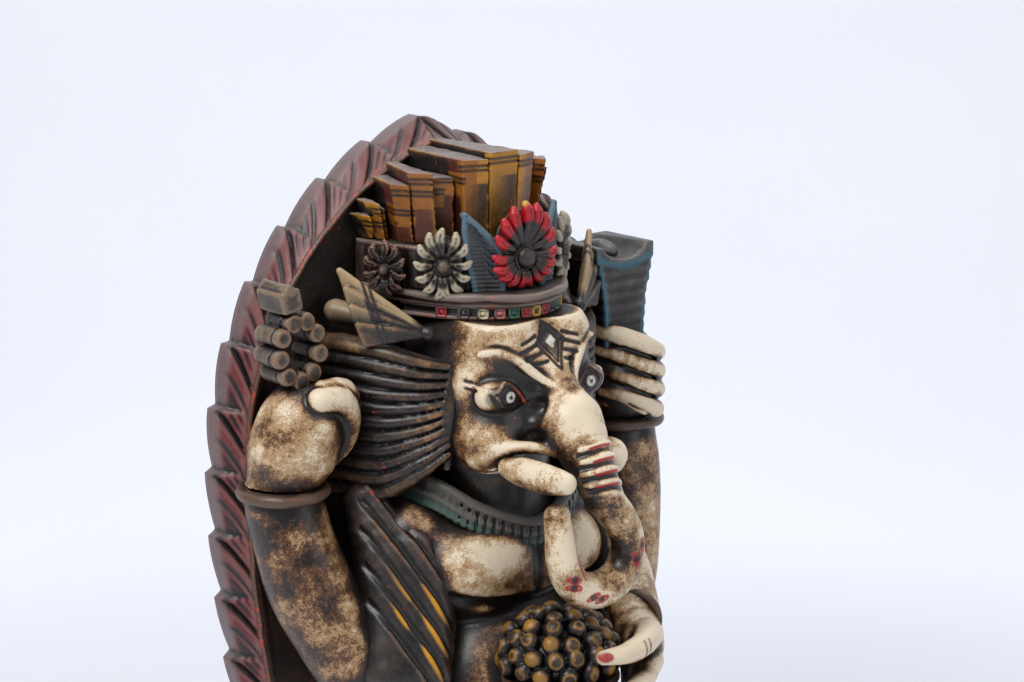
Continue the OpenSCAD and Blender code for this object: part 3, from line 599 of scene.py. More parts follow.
def mix_coats():
    """Every finish of the idol, by the name that the pieces use."""
    make_rubbed_paint()
    make_dust()
    make_flecks()
    make_tool_marks()
    ivory = ("e8d6b8", "b28f64", "694527", "1b1411")
    black = ("5e4636", "3d2b21", "261b17", "120d0c")
    mix_coat("ivory", "worn_ivory_paint", *ivory, cover=0.20, form=2.2, carving=2.2, depth=1.2,
        handled_and_top_light=0.16, speckle=0.9, patches=1.3, dust=0.08, flecks=0.12, gloss=(0.26, 0.42),
        accents=(("red_paint", "a3161f", 0.95), ("dark_paint", "191312", 0.9),
        ("orange_paint", "c8401d", 0.75), ("light_paint", "fbf3e6", 0.9)))
    mix_coat("trunk", "trunk_ivory_paint", *ivory, cover=0.08, form=1.1, carving=2.2, depth=0.9,
        handled_and_top_light=0.2, speckle=1.1, patches=1.8, dust=0.05, flecks=0.14, gloss=(0.26, 0.42),
        accents=(("red_paint", "b3141f", 1.0), ("dark_paint", "191312", 0.9)))
    mix_coat("tusk", "tusk_ivory_paint", *ivory, cover=0.2, form=1.1, carving=2.0, depth=0.9,
        handled_and_top_light=0.2, speckle=1.0, patches=1.5, dust=0.05, flecks=0.06, gloss=(0.28, 0.4))
    mix_coat("patina", "near_black_patina", *black, cover=0.26, form=1.2, carving=2.2, depth=0.6,
        speckle=0.5, patches=0.5, dust=0.06, flecks=0.2, gloss=(0.24, 0.34))
    mix_coat("slab", "slab_patina", "5a4338", "3a2a23", "251b17", "120d0c", cover=0.4, form=1.4,
        carving=2.0, depth=0.5, speckle=0.5, patches=0.6, dust=0.35, flecks=0.42, grain=0.6,
        bump=0.5, gloss=(0.32, 0.4))
    mix_coat("leaf", "leaf_border_paint", "7c4a46", "6e2021", "3a1312", "120d0e", cover=0.40,
        form=1.6, carving=3.0, depth=0.4, speckle=0.6, patches=1.0, dust=0.32, flecks=0.1,
        grain=0.3, gloss=(0.34, 0.46), accents=(("grey_paint", "6f6462", 0.8),
        ("dark_paint", "191314", 0.9)))
    mix_coat("ear", "ear_patina", "8a6743", "46331f", "261b16", "100b0a", cover=0.12, form=0.9,
        carving=2.2, depth=0.4, speckle=0.9, patches=1.2, dust=0.08, flecks=0.2, gloss=(0.26, 0.34))
    mix_coat("ribbon", "ribbon_paint", "7a6144", "46362a", "281e18", "110c0b", cover=0.14, form=0.9,
        carving=2.4, depth=0.4, speckle=0.6, patches=0.8, dust=0.08, flecks=0.25,
        gloss=(0.28, 0.38), accents=(("light_paint", "bba078", 0.7),
        ("dark_paint", "151010", 0.95)))
    mix_coat("shawl", "shawl_paint", "5a4a40", "3a2f29", "261f1b", "120e0d", cover=0.32, form=0.9,
        carving=2.2, depth=0.4, speckle=0.6, patches=0.8, dust=0.07, flecks=0.25,
        gloss=(0.26, 0.34), accents=(("yellow_paint", "d0901c", 1.0),))
    mix_coat("cloth", "cloth_red_paint", "9d4a3c", "7a241f", "42170f", "170f0e", cover=0.45,
        form=1.5, carving=2.4, depth=0.6, speckle=0.5, patches=0.6, dust=0.2, flecks=0.2)
    mix_coat("necklace", "necklace_paint", "5e5a52", "3a3530", "231e1b", "110e0d", cover=0.42,
        form=1.2, carving=2.6, depth=0.4, speckle=0.5, patches=0.6, dust=0.05, flecks=0.1,
        gloss=(0.26, 0.34), accents=(("green_paint", "35604f", 0.65),))
    mix_coat("rosary", "rosary_patina", "7d6a54", "44382e", "2a211c", "120e0d", cover=0.32,
        form=1.0, carving=2.6, depth=0.4, speckle=0.6, patches=0.7, dust=0.08, flecks=0.12,
        grain=0.4, gloss=(0.26, 0.36), accents=(("orange_paint", "a8602c", 0.5),
        ("dark_paint", "161110", 0.9)))
    mix_coat("axe", "axe_paint", "5b5854", "35312e", "211c1a", "100d0d", cover=0.42, form=1.0,
        carving=2.2, depth=0.5, speckle=0.6, patches=0.6, dust=0.14, flecks=0.12, grain=1.0,
        bump=0.6, gloss=(0.28, 0.36), accents=(("blue_paint", "2b6c80", 0.7),))
    mix_coat("sweet", "sweet_paint", "6e5430", "3f3122", "251c17", "120e0d", cover=0.22, form=0.6,
        carving=1.2, depth=0.5, speckle=0.9, patches=1.0, dust=0.06, flecks=0.2, gloss=(0.22, 0.32),
        accents=(("gold_paint", "b98328", 0.75),))
    mix_coat("green", "leaf_green_paint", "5f8a63", "2f5a3c", "20301f", "12100e", cover=0.45,
        dust=0.2)
    mix_coat("crown", "crown_patina", "75655c", "43352e", "2a1f1b", "130e0d", cover=0.42, form=1.2,
        carving=2.2, depth=0.4, speckle=0.5, patches=0.5, dust=0.26, flecks=0.25,
        gloss=(0.26, 0.36))
    mix_coat("stave", "stave_ochre_paint", "a87a30", "6b4a20", "3a2819", "151010", cover=0.26,
        form=0.6, carving=1.8, depth=0.2, speckle=0.7, patches=1.0, dust=0.9, flecks=0.3, grain=0.9,
        bump=0.5, gloss=(0.34, 0.42), accents=(("yellow_paint", "c8891d", 0.9),
        ("red_paint", "6e2114", 0.55), ("dark_paint", "161010", 0.95)))
    mix_coat("stone", "painted_stones", "4a4440", "2a2523", "1d1918", "100d0d", cover=0.4,
        dust=0.08, flecks=0.05, bump=0.2, gloss=(0.2, 0.3), coat=0.4,
        accents=(("red_paint", "a8161f", 0.95), ("green_paint", "1f7a5a", 0.8),
        ("yellow_paint", "d9a318", 0.95), ("light_paint", "d8c9a0", 0.95),
        ("pink_paint", "c87868", 0.9)))
    mix_coat("rosette_red", "rosette_red_paint", "6b5648", "43342b", "2a1f1a", "120d0c", cover=0.3,
        form=0.4, carving=2.0, depth=0.2, speckle=0.45, patches=0.3, dust=0.12, flecks=0.05,
        facets=0.3, gloss=(0.3, 0.36), accents=(("red_paint", "b3121f", 0.98),
        ("yellow_paint", "c8a33a", 0.9)))
    mix_coat("rosette_silver", "rosette_silver_paint", "b5a483", "5e5142", "302620", "110d0c",
        cover=0.12, form=0.3, carving=2.8, depth=0.2, speckle=0.7, patches=0.5, dust=0.05,
        flecks=0.08, facets=0.3, gloss=(0.28, 0.36), accents=(("light_paint", "e2d5b6", 0.5),
        ("dark_paint", "171211", 0.9)))
    mix_coat("rosette_copper", "rosette_copper_paint", "a1745c", "563c31", "2c201b", "110d0c",
        cover=0.12, form=0.3, carving=2.6, depth=0.3, speckle=0.5, patches=0.3, dust=0.1,
        flecks=0.2, facets=0.3)
    mix_coat("crown_leaf", "crown_leaf_paint", "5a5f62", "3a3c3e", "252321", "110e0e", cover=0.45,
        form=0.5, carving=2.2, depth=0.2, speckle=0.4, patches=0.4, dust=0.15, flecks=0.1,
        facets=0.3, accents=(("blue_paint", "4c7484", 0.65), ("dark_paint", "10202e", 0.85)))
    mix_coat("plinth", "plinth_wood", "7a5236", "4f301f", "2f1c14", "150e0c", cover=0.45, form=1.6,
        carving=2.6, depth=0.6, speckle=0.4, patches=0.5, dust=0.3, flecks=0.12, grain=0.5)
    mix_coat("seat", "seat_wood", "6a4434", "43291f", "281a15", "130d0c", cover=0.42, dust=0.25,
        grain=0.4)
    mix_coat("petal", "seat_petal_paint", "a1514a", "7a2522", "421713", "160f0e", cover=0.46,
        form=1.8, carving=2.6, depth=0.5, speckle=0.5, patches=0.6, dust=0.3, flecks=0.15)
    mix_coat("peg", "bare_peg_wood", "c99f6a", "b08450", "8a6236", "4d3420", cover=0.6, dust=0.1,
        flecks=0.0, grain=1.0, gloss=(0.55, 0.6), coat=0.0)


# ---- head ----

EYE_X, EYE_Z = 0.55 * HEAD_HALF, FACE_MID + 3.5
FRONT_WAY = (0, 1, 0)


def sided(side, points):
    """The points on one side of the figure, given for its left."""
    return [(side * p[0],) + tuple(p[1:]) for p in points]


def brow_line(side):
    return sided(side, [(36.5, BROW_TOP - 13.5), (29, BROW_TOP - 12.5), (21, BROW_TOP - 16.5),
                        (12.5, BROW_TOP - 24.5), (6, BROW_TOP - 31)])


def upper_lid(side):
    return sided(side, [(40, EYE_Z + 5), (34, EYE_Z + 3), (30.5, EYE_Z + 5.2), (26.7, EYE_Z + 7),
                        (21, EYE_Z + 3.2), (16.3, EYE_Z - 3.5)])


def lower_lid(side):
    return sided(side, [(35, EYE_Z + 2), (31, EYE_Z - 4), (26.5, EYE_Z - 6.2),
                        (21, EYE_Z - 5.6), (16.3, EYE_Z - 3.5)])


def third_eye(half_width, top, bottom):
    middle = BROW_TOP - 9.8
    return [(0, top), (half_width, middle), (0, bottom), (-half_width, middle), (0, top)]


def forehead_bars(side):
    return [sided(side, bar) for bar in (
        [(8.6, BROW_TOP - 6.4), (17.8, BROW_TOP - 9.2)],
        [(7.4, BROW_TOP - 10), (18.8, BROW_TOP - 13.6)],
        [(6.6, BROW_TOP - 14.4), (16.5, BROW_TOP - 17.4)],
        [(5.6, BROW_TOP - 18.4), (12.5, BROW_TOP - 20.2)])]


def carve_head(sizes):
    face_y = low("head")[1]
    clay = Clay((-HEAD_HALF - 5, face_y - 20, CHIN - 4), (HEAD_HALF + 5, 30, BROW_TOP + 4),
                sizes.fine_step)
    clay.add(egg((0, 2, FACE_MID + 6.5), (HEAD_HALF, 47, 44)), 3)
    clay.add(limb([(0, -22, FACE_MID - 5, 26), (0, -41, FACE_MID - 6, 18),
                   (0, face_y + 8, FACE_MID - 11, 13.5)]), 9)
    clay.add(limb(bend(trunk_line(), 6)[:3] + (0, 0, 0, 0.6)), 6)
    clay.add(limb([(0, -37, FACE_MID + 14, 9), (0, -47, FACE_MID, 9)]), 8)
    for side, _ in SIDES:
        clay.add(egg((side * 24, -21, FACE_MID - 20), (20, 22, 19)), 8)
        clay.add(egg((side * 17, -20, BROW_TOP - 10), (20, 20, 17)), 7)
        clay.cut(egg((side * 27, -49, EYE_Z + 5), (17, 9.5, 11.5), (0, side * 18, 0)), 6)
        clay.cut(egg((side * 24, -47, EYE_Z - 6), (16, 6.5, 7)), 5)
        clay.add(egg((side * 26.5, -32.5, EYE_Z - 0.5), (13.5, 9, 9)), 2.5)
        clay.cut(egg((side * 50, -24, FACE_MID - 10), (4, 5, 26)), 5)
        clay.add(limb(bend(sided(side, [(37, -28, CHIN + 9, 3), (32, -40, CHIN + 15, 3.4),
            (23, -50, CHIN + 17, 3.2), (13, -57, CHIN + 15, 2.6)]), 4)), 5)
        brow = clay.front(bend(brow_line(side), 5)[:, :2])
        run = np.linspace(0, 1, len(brow))
        brow[:, 1] = np.polyval(np.polyfit(run, brow[:, 1], 2), run) + 0.4
        clay.add(limb(np.column_stack([brow, np.interp(run, (0, 0.5, 1), (1.2, 2.7, 2.0))])), 1.6)
    clay.cut(limb([(-9, face_y + 6, FACE_MID + 10.5, 1.2), (0, face_y + 3, FACE_MID + 8.5, 1.6),
                   (9, face_y + 6, FACE_MID + 10.5, 1.2)]), 4)
    clay.ripple(0.35, 9, 11)

    lines = {"dark": [], "orange": [], "light": []}
    for side, _ in SIDES:
        lid = clay.front(bend(upper_lid(side), 5)[:, :2])
        below = clay.front(bend(lower_lid(side), 5)[:, :2])
        clay.press(lid, 0.9, -0.9).press(below, 0.8, -0.6)
        clay.press(lid + (0, 0, 1.9), 0.75, 1.1).press(lid + (0, 0, -1.5), 0.6, 0.9)
        clay.press(below + (0, 0, -1.8), 1.2, 1.0)
        pupil = clay.front(ring_path((side * EYE_X, 0, EYE_Z), 4.6, 4.6, (90, 0, 0), 20)[:, ::2])
        dot = clay.front(ring_path((side * EYE_X, 0, EYE_Z), 1.9, 1.9, (90, 0, 0), 14)[:, ::2])
        clay.press(pupil, 0.7, 0.8).press(dot, 0.5, 0.5)
        brow = clay.front(bend(brow_line(side), 5)[:, :2])
        clay.press(brow + (0, 0, 3.2), 1.0, 1.1)
        lines["dark"] += [(lid + (0, 0, 1.9), 0.7), (below + (0, 0, -2.0), 1.3), (pupil, 1.4),
                          (brow + (0, 0, 3.4), 0.6)]
        lines["orange"].append((lid[len(lid) // 3:] + (0, 0, -1.4), 0.45))
        lines["light"].append((dot, 0.55))
        for bar in forehead_bars(side):
            line = clay.front(bend(bar, 8)[:, :2])
            clay.press(line, 0.75, 1.3)
            lines["dark"].append((line, 0.5))
        lip = clay.front(bend(sided(side, [(33, CHIN + 0.5), (26, CHIN + 5), (15, CHIN + 11.5),
                                           (5, CHIN + 7)]), 5)[:, :2])
        clay.press(lip, 1.1, 1.9).press(lip + (0, 0, 2.6), 1.3, -0.9)
        lines["dark"].append((lip, 0.8))
        lines["orange"].append((lip + (0, 0, -1.3), 0.4))
        hollow = clay.front([(side * 41.5, BROW_TOP - 14), (side * 41.5, BROW_TOP - 20)])
        clay.press(hollow, 1.3, 1.2)
        lines["dark"].append((hollow, 1.0))
    for half, top, bottom in ((8.7, BROW_TOP - 1.2, BROW_TOP - 22.5),
                              (5.9, BROW_TOP - 2.6, BROW_TOP - 19)):
        edge = clay.front(np.vstack([bend(np.array([a, b]), 8) for a, b in zip(
            third_eye(half, top, bottom)[:-1], third_eye(half, top, bottom)[1:])]))
        clay.press(edge, 0.65, 1.0)
        lines["dark"].append((edge, 0.5))
    gem = clay.front([(0, BROW_TOP - 9.8)])[0]
    clay.add(block(gem + (0, 0.2, 0), (2.6, 1.2, 2.6), 0.4, (0, 45, 0)), 0.3)
    clay.keep_side(2, CHIN, 1).keep_side(2, BROW_TOP, -1)

    def masks(points):
        found = {key + "_paint": painted(points, parts) for key, parts in lines.items()}
        x, z = np.abs(points[:, 0]), points[:, 2]
        away = x / 5.4 + np.abs(z - (BROW_TOP - 10)) / 9.2
        inside = np.clip((1.0 - away) * 4, 0, 1) * (points[:, 1] < -20)
        jewel = np.clip((3.4 - x - np.abs(z - (BROW_TOP - 9.8))) * 1.5, 0, 1) * (points[:, 1] < -20)
        found["dark_paint"] = np.maximum(found["dark_paint"], inside * (1 - jewel))
        eye = 1 - ((x - EYE_X - 1.5) / 11.5) ** 2 - ((z - EYE_Z) / 6.4) ** 2
        eye = np.clip(eye * 3, 0, 0.72) * (points[:, 1] < -24) * (1 - found["light_paint"])
        found["dark_paint"] = np.maximum(found["dark_paint"], eye)
        found["light_paint"] = np.maximum(found["light_paint"], jewel)
        return found

    # Plus spots are rubbed paint; minus spots are painted shade round the eyes, beside the trunk
    # root, above the lip, at the chin and on top of the head under the crown
    rub_and_painted_shade = [(0, -64, FACE_MID - 10, 15, 0.5), (0, -55, FACE_MID + 12, 6, -0.55),
           (-9, -42, FACE_MID + 22, 16, 0.35), (9, -42, FACE_MID + 22, 16, 0.3),
           (0, -20, BROW_TOP, 14, -0.3)]
    for side in (-1, 1):
        rub_and_painted_shade += [(side * 26, -44, EYE_Z + 8, 11, -0.45), (side * 25, -44, EYE_Z - 8, 9, -0.45),
                (side * 29, -41, EYE_Z, 9, -0.85), (side * 40, -26, FACE_MID + 12, 13, 0.32),
                (side * 13, -50, EYE_Z, 8, -0.45), (side * 17, -50, CHIN + 15, 8, -0.3),
                (side * 31, -38, CHIN + 22, 8, 0.3), (side * 25, -50, CHIN + 15, 8, -0.45),
                (side * 43, -18, FACE_MID - 8, 16, 0.3),
                (side * 40, -20, BROW_TOP - 8, 11, 0.2), (side * 12, -44, CHIN + 4, 9, -0.35)]
    skin(clay, "head", "ivory", masks=masks, rub_and_painted_shade=rub_and_painted_shade)


def trunk_line():
    """Centre line of the trunk with its radius: out of the face, down, and curled up again."""
    lowest, highest = low("trunk"), high("trunk")
    front, x, z = lowest[1], highest[0] - 8.5, lowest[2]
    return [(0, front + 30, z + 101, 14.6), (0, front + 14, z + 81, 11.8),
            (x * 0.24, front + 10, z + 65.6, 9.6), (x * 0.75, front + 9, z + 51.4, 8.8),
            (x * 0.99, front + 10, z + 37.6, 8.6), (x * 0.73, front + 10, z + 25.6, 8.8),
            (x * 0.08, front + 10, z + 20, 9.2), (-x * 0.64, front + 11, z + 24, 8.7),
            (-x, front + 12, z + 36, 8.2), (-x * 1.03, front + 14, z + 48, 7.6),
            (-x * 1.04, front + 16, z + 60, 6.6)]


def carve_trunk(sizes):
    lowest, highest = low("trunk"), high("trunk")
    clay = Clay(lowest - (5, 6, 5), highest + (5, 4, 5), sizes.fine_step)
    line = bend(trunk_line(), 6)
    clay.add(limb(line), 0)
    z = lowest[2]
    clay.ripple(0.3, 8, 21)
    ridges, rims = [], []
    for level, width in ((90.5, 12), (84.5, 12), (78.5, 11.5), (72.5, 10.5)):
        arc = clay.front([(width * math.sin(a), z + level + 1.6 * math.cos(2 * a))
                          for a in np.linspace(-1.1, 1.1, 13)])
        clay.press(arc, 1.25, 1.8).press(arc + (0, 0, 3), 1.4, -0.8)
        ridges.append(arc)
    ovals = [((line[26, 0] + 3, z + 41), 80), ((line[26, 0] - 1, z + 34), 75),
             ((-20, z + 30.5), 10), ((-20, z + 26.5), 8), ((-9, z + 20), -20),
             ((-4, z + 18), -20)]
    for (x0, z0), tilt in ovals:
        flat = ring_path((x0, 0, z0), 3.4, 1.3, (90, tilt, 0), 18)
        rim = clay.front(flat[:, ::2])
        spot = clay.front([(x0, z0)])
        clay.press(spot, 1.7, 1.1)
        rims.append((rim, spot))
    limb_line = clay.front([(p[0] + 4.4, p[2]) for p in line[45:61]])

    def masks(points):
        red = painted(points, [(arc[3:10] + (0, 0, 1.7), 0.9) for arc in ridges]
                      + [(rim, 0.45) for rim, _ in rims])
        red = np.maximum(red, line_mask(points, limb_line, 0.5) * 0.8)
        dark = painted(points, [(arc, 0.9) for arc in ridges] + [(spot, 1.7) for _, spot in rims])
        return {"red_paint": red, "dark_paint": dark}

    # Plus spots are rubbed paint; minus spots are painted shade inside the trunk's curl and beside
    # it
    rub_and_painted_shade = [(0, line[0, 1] - 16, z + 98, 13, 0.55), (14, -80, z + 68, 9, 0.15),
           (-4, -84, z + 18, 12, 0.4), (-22, -80, z + 52, 12, 0.35), (24, -76, z + 44, 9, -0.1),
           (-4, -70, z + 34, 9, -0.5), (6, -74, z + 62, 7, -0.2)]
    skin(clay, "trunk", "trunk", masks=masks, rub_and_painted_shade=rub_and_painted_shade)
    for side, name in SIDES:
        node = name + "_tusk"
        a, b, mid = span(node)
        reach = 1.0 if side < 0 else 0.82
        tusk = Clay(a - 4, b + 4, sizes.fine_step)
        outer, inner = side * 30.5, side * 22.0
        tusk.add(limb(bend([(outer, -45, mid[2] + 4, 5.4),
                            (outer - side * 1.5, -54, mid[2] + 3, 7.2),
                            ((outer + inner) / 2, -64 * reach - 5, mid[2] + 2, 7.3),
                            (inner, (a[1] + 9) * reach + 4, mid[2] + 1, 5.4)], 5)), 0)
        tusk.ripple(0.25, 7, 31 + side)
        # Plus spot is rubbed paint; minus spots are painted shade at the tusk's root against the
        # face and on its underside
        skin(tusk, node, "tusk",
             rub_and_painted_shade=[(outer, -46, mid[2], 9, -0.25), (inner, -84, mid[2] + 3, 10, 0.25),
                  (mid[0], -60, a[2] - 1, 9, -0.4)])


def carve_ears(sizes):
    for side, name in SIDES:
        node = name + "_ear"
        a, b = low(node), high(node)
        clay = Clay(a - (4, 4, 4), b + (4, 2, 4), 0.85)
        inner = a[0] if side > 0 else b[0]
        clay.add(egg((inner + side * 20, 28, (a[2] + b[2]) / 2 + 2), (12, 34, 30)), 0)
        count = sizes.ear_pleats
        for lift, thick in ((-3.6, 1.5), (0.0, 1.0)):
            for i in range(count):
                f = i / (count - 1)
                start = b[2] - 13 - f * 44
                end = b[2] - 5 - f * (b[2] - a[2] - 10)
                fold = bend([
                    (inner + side * 9, -15, start, 1.7),
                    (inner + side * 21, -7, start + 0.5 * (end - start) - 1.5, 2.5),
                    (inner + side * 33, 10, end - 1.0 - 3 * f, 3.4),
                    (inner + side * 41, 30, end - 3.5 * f, 3.5),
                    (inner + side * 42, 50, end - 2 - 5 * f, 3.2)], 3)
                fold = fold * (1, 1, 1, thick) + (side * lift * 0.6, -lift * 0.8, 0, 0)
                clay.add(limb(fold), 0.3)
        clay.add(limb(bend([(inner + side * 6, -15, b[2] - 15, 2.4),
                            (inner + side * 7, -14, b[2] - 32, 4.5),
                            (inner + side * 7, -13, b[2] - 46, 4.0),
                            (inner + side * 6, -10, a[2] + 14, 2)], 4)), 1)
        clay.ripple(0.3, 7, 41 + side)
        clay.keep_side(1, SLAB_FRONT, -1)
        skin(clay, node, "ear")


def carve_ribbons():
    for side, name in SIDES:
        node = name + "_ribbon"
        a, b = low(node), high(node)
        clay = Clay(a - (6, 8, 6), b + (6, 2, 8), 0.7)
        apex = np.array([side * 49, -6, b[2] - 27])
        bottom, top = np.array([side * 75, 11, a[2] + 5]), np.array([side * 79, 25, b[2] + 3])
        panels, rods = 4, 7
        for i in range(panels):
            for k in range(rods):
                share = k / (rods - 1)
                end = bottom + (top - bottom) * (i + share) / panels
                step_up = np.array([side * 0.64, -0.7, 0.3]) * (3.4 * share)
                clay.add(limb([tuple(apex) + (1.6,), tuple((apex + end) / 2 + step_up) + (1.7,),
                               tuple(end + step_up) + (1.7,)]), 0.4)
        clay.add(limb([tuple(apex + (0, 8, -1)) + (3,), (side * 71, 40, b[2] - 20, 6)]), 2)
        clay.add(ball(apex, 3.6), 1)
        clay.ripple(0.25, 6, 51 + side)
        clay.keep_side(1, SLAB_FRONT, -1)

        def masks(points, apex=apex, axes=np.column_stack([bottom - apex, top - apex])):
            shares = np.linalg.lstsq(axes, (points - apex).T, rcond=None)[0]
            along = shares.sum(0)
            turned_up = shares[1] / np.maximum(along, 0.05)
            dark = np.clip((0.2 - along) * 8, 0, 1)
            for level in (0.66, 0.74):
                dark = np.maximum(dark, np.clip(1.6 - np.abs(along - level) / 0.02, 0, 1))
            light = np.clip((turned_up - 0.74) * 12, 0, 1)
            light = np.maximum(light, np.clip((turned_up - 0.3) * 4, 0, 0.7) * (along > 0.8))
            return {"dark_paint": dark, "light_paint": light * (1 - dark)}

        skin(clay, node, "ribbon", masks=masks)


# ---- body ----

def carve_torso():
    a, b = low("torso"), high("torso")
    clay = Clay(a - (4, 14, 2), b + (4, 3, 2), 1.25)
    belly_z = a[2] + 89
    clay.add(egg((0, 0, belly_z), (62, 51, 60)), 0)
    clay.add(egg((0, 8, belly_z + 68), (59, 40, 38)), 4)
    clay.add(limb([(0, 10, b[2] - 40, 34), (0, 6, b[2] + 2, 30)]), 6)
    for side, _ in SIDES:
        clay.add(ball((side * 50, 10, b[2] - 48), 20), 14)
        clay.add(egg((side * 27, -15, belly_z + 77), (28, 18, 18), (0, side * 24, 0)), 12)
    clay.ripple(0.6, 16, 61)
    crease = clay.front([(x, belly_z + 55 + 0.0035 * x * x) for x in np.linspace(-48, 48, 33)])
    clay.press(crease, 3.2, 3.4)
    cleft = clay.front([(0, z) for z in np.linspace(belly_z + 60, belly_z + 82, 9)])
    clay.press(cleft, 2.4, 1.6)
    navel = clay.front([(0, belly_z - 12)])
    clay.press(navel, 4, 4)
    clay.keep_side(2, a[2], 1).keep_side(1, SLAB_FRONT, -1)
    # Plus spots are rubbed paint; minus spots are painted shade in the chest crease, at the sides
    # by the arms and under the head
    rub_and_painted_shade = [(-24, -32, belly_z + 80, 13, 0.35), (24, -32, belly_z + 80, 13, 0.3),
           (0, -30, belly_z + 60, 14, -0.3), (-30, -40, belly_z + 30, 13, 0.25),
           (-46, -20, belly_z + 60, 11, -0.45), (-52, -16, belly_z + 30, 12, -0.3),
           (46, -20, belly_z + 60, 12, -0.4), (0, -20, b[2] - 22, 18, -0.4),
           (-10, -46, belly_z + 40, 10, -0.25)]
    skin(clay, "torso", "ivory", fine=2.6, rub_and_painted_shade=rub_and_painted_shade)


def carve_necklace():
    a, b = low("necklace"), high("necklace")
    clay = Clay(a - (4, 5, 7), b + (4, 4, 4), 0.65)
    inner = bend([(-47, 12, b[2]), (-43, -6, b[2] - 2), (-28, -22, b[2] - 14), (0, -29, b[2] - 24),
                  (28, -22, b[2] - 14), (43, -6, b[2] - 2), (47, 12, b[2])], 12)
    outer = inner + (0, 0, -10)
    outer[:, :2] *= 1.05
    outer[:, 1] += 1.5
    clay.add(rod(inner[::3], 3.2), 0).add(rod((inner * 0.5 + outer * 0.5)[::3], 3.4), 2.5)
    clay.add(rod(outer[::3], 2.6), 2.5)
    clay.press(inner + (0, -2.5, 0.5), 1.2, -0.8)
    for p, q in zip(inner[::2], outer[::2]):
        slant = q + (0.6 * (q - p) * (0, 0, 1))
        clay.press(np.array([p * 0.75 + q * 0.25 + (0, -2.5, 0), slant + (0, -1.5, 0)]), 0.8, 1.5)
    clay.press(outer + (0, -2, 4.6), 0.7, 0.8)

    def masks(points):
        near = rod(outer[::2], 0)[0](points[:, 0], points[:, 1], points[:, 2])
        return {"green_paint": np.clip(1.6 - near / 3.2, 0, 1)}

    skin(clay, "necklace", "necklace", fine=1.2, masks=masks)


def rear_arm_line(side):
    b = high("left_rear_arm")
    return sided(side, [(58, 12, b[2] - 52, 18), (66, 8, b[2] - 86, 18.5),
                        (77, 5, b[2] - 119, 19.5), (91, 9, b[2] - 100, 20.5),
                        (104, 20, b[2] - 66, 21.5), (111, 29, b[2] - 32, 19.5),
                        (112, 32, b[2] - 16, 18.5)])


def carve_rear_arms():
    for side, name in SIDES:
        node = name + "_rear_arm"
        a, b = low(node), high(node)
        clay = Clay(a - 4, b + 4, 1.15)
        clay.add(limb(bend(rear_arm_line(side), 4)), 0)
        clay.ripple(0.7, 15, 71 + side)
        clay.keep_side(1, SLAB_FRONT, -1).keep_side(2, b[2] - 16, -1)
        # Plus spots are rubbed paint; minus spots are painted shade on the outer side, on the side
        # toward the body and under the bangle
        rub_and_painted_shade = [(side * 100, 4, b[2] - 70, 14, 0.22), (side * 118, 14, b[2] - 60, 12, -0.15),
               (side * 88, -8, b[2] - 100, 14, 0.2), (side * 74, -10, b[2] - 78, 12, -0.4),
               (side * 104, 8, b[2] - 22, 8, -0.3), (side * 72, -8, b[2] - 125, 14, 0.1)]
        skin(clay, node, "ivory", fine=2.4, rub_and_painted_shade=rub_and_painted_shade)


def carve_bangles():
    for node in ("right_rear_bangle", "left_rear_bangle", "right_front_bangle",
                 "left_front_bangle", "right_anklet", "left_anklet"):
        a, b, mid = span(node)
        clay = Clay(a - 4, b + 4, 0.75)
        if "rear" in node:
            ring = ring_path((mid[0], 30, mid[2]), 20.3, 20.3, (0, 0, 0), 40)
            clay.add(rod(ring, 3.1), 0)
        else:
            thick = 3.0
            half = (b - a) / 2
            spread = np.sort(half)[1:].mean() - thick + 0.6
            path = {"right_front_bangle": ((-64, -64, mid[2]), (64, 0, 25)),
                    "left_front_bangle": ((46, -53, mid[2]), (20, -72, 0)),
                    "right_anklet": ((-24, -53, mid[2]), (0, 90, 18)),
                    "left_anklet": ((mid[0], mid[1], mid[2]), (0, 90, -24))}[node]
            clay.add(rod(ring_path(path[0], spread, spread, path[1], 36), thick), 0)
        clay.ripple(0.35, 6, 81 + len(node))
        clay.keep_side(1, SLAB_FRONT, -1).keep_side(2, SEAT_TOP, 1)
        skin(clay, node, "patina")


def carve_rear_hands():
    for side, name in SIDES:
        node = name + "_rear_hand"
        a, b, mid = span(node)
        clay = Clay(a - (8, 16, 4), b + (6, 3, 8), 0.85)
        clay.add(limb([(side * 112, 32, a[2] - 2, 18), (side * 109, 28, a[2] + 14, 21)]), 0)
        clay.add(egg((side * 105, 25, mid[2] + 1), (22.5, 21, 27), (0, side * -28, 0)), 6)
        lines = []
        if side < 0:
            for shift, lift in ((0, 0), (5.5, 2)):
                clay.add(limb(bend([(-104 + shift, 9 + shift, mid[2] + 19 + lift, 6.5),
                                    (-92 + shift, 9 + shift, mid[2] + 17 + lift, 7.2),
                                    (-85 + shift * 0.8, 13 + shift, mid[2] + 6 + lift, 7.0),
                                    (-84 + shift * 0.6, 19 + shift, mid[2] - 7 + lift, 6.4),
                                    (-89, 22 + shift, mid[2] - 15, 5)], 3)), 1.4)
        else:
            for i in range(4):
                top = mid[2] + 19 - 10.5 * i
                clay.add(limb(bend([(85 + i, 18, top + 5, 4.6), (91 + i, 8, top + 3, 5.4),
                                    (103, 2.5, top - 3, 5.8), (115, 6, top - 8, 5.0)], 3)), 1.0)
                lines.append(clay.land([(x, -30, z) for x, z in (
                    (90 + i, top - 2), (103, top - 8), (114, top - 13))], FRONT_WAY))
        clay.ripple(0.5, 11, 91 + side)
        for line in lines:
            clay.press(bend(line, 5), 0.9, 1.6)
        clay.keep_side(1, SLAB_FRONT, -1).keep_side(2, high("left_rear_bangle")[2] + 0.5, 1)
        # Plus spots are rubbed paint; the minus spot is painted shade low by the wrist
        rub_and_painted_shade = [(side * 108, 6, mid[2] + 12, 14, 0.15 - 0.15 * side),
               (side * 112, 10, a[2] + 6, 12, 0.1), (side * 96, 4, a[2] + 2, 9, -0.2)]
        skin(clay, node, "ivory", fine=1.8, rub_and_painted_shade=rub_and_painted_shade)


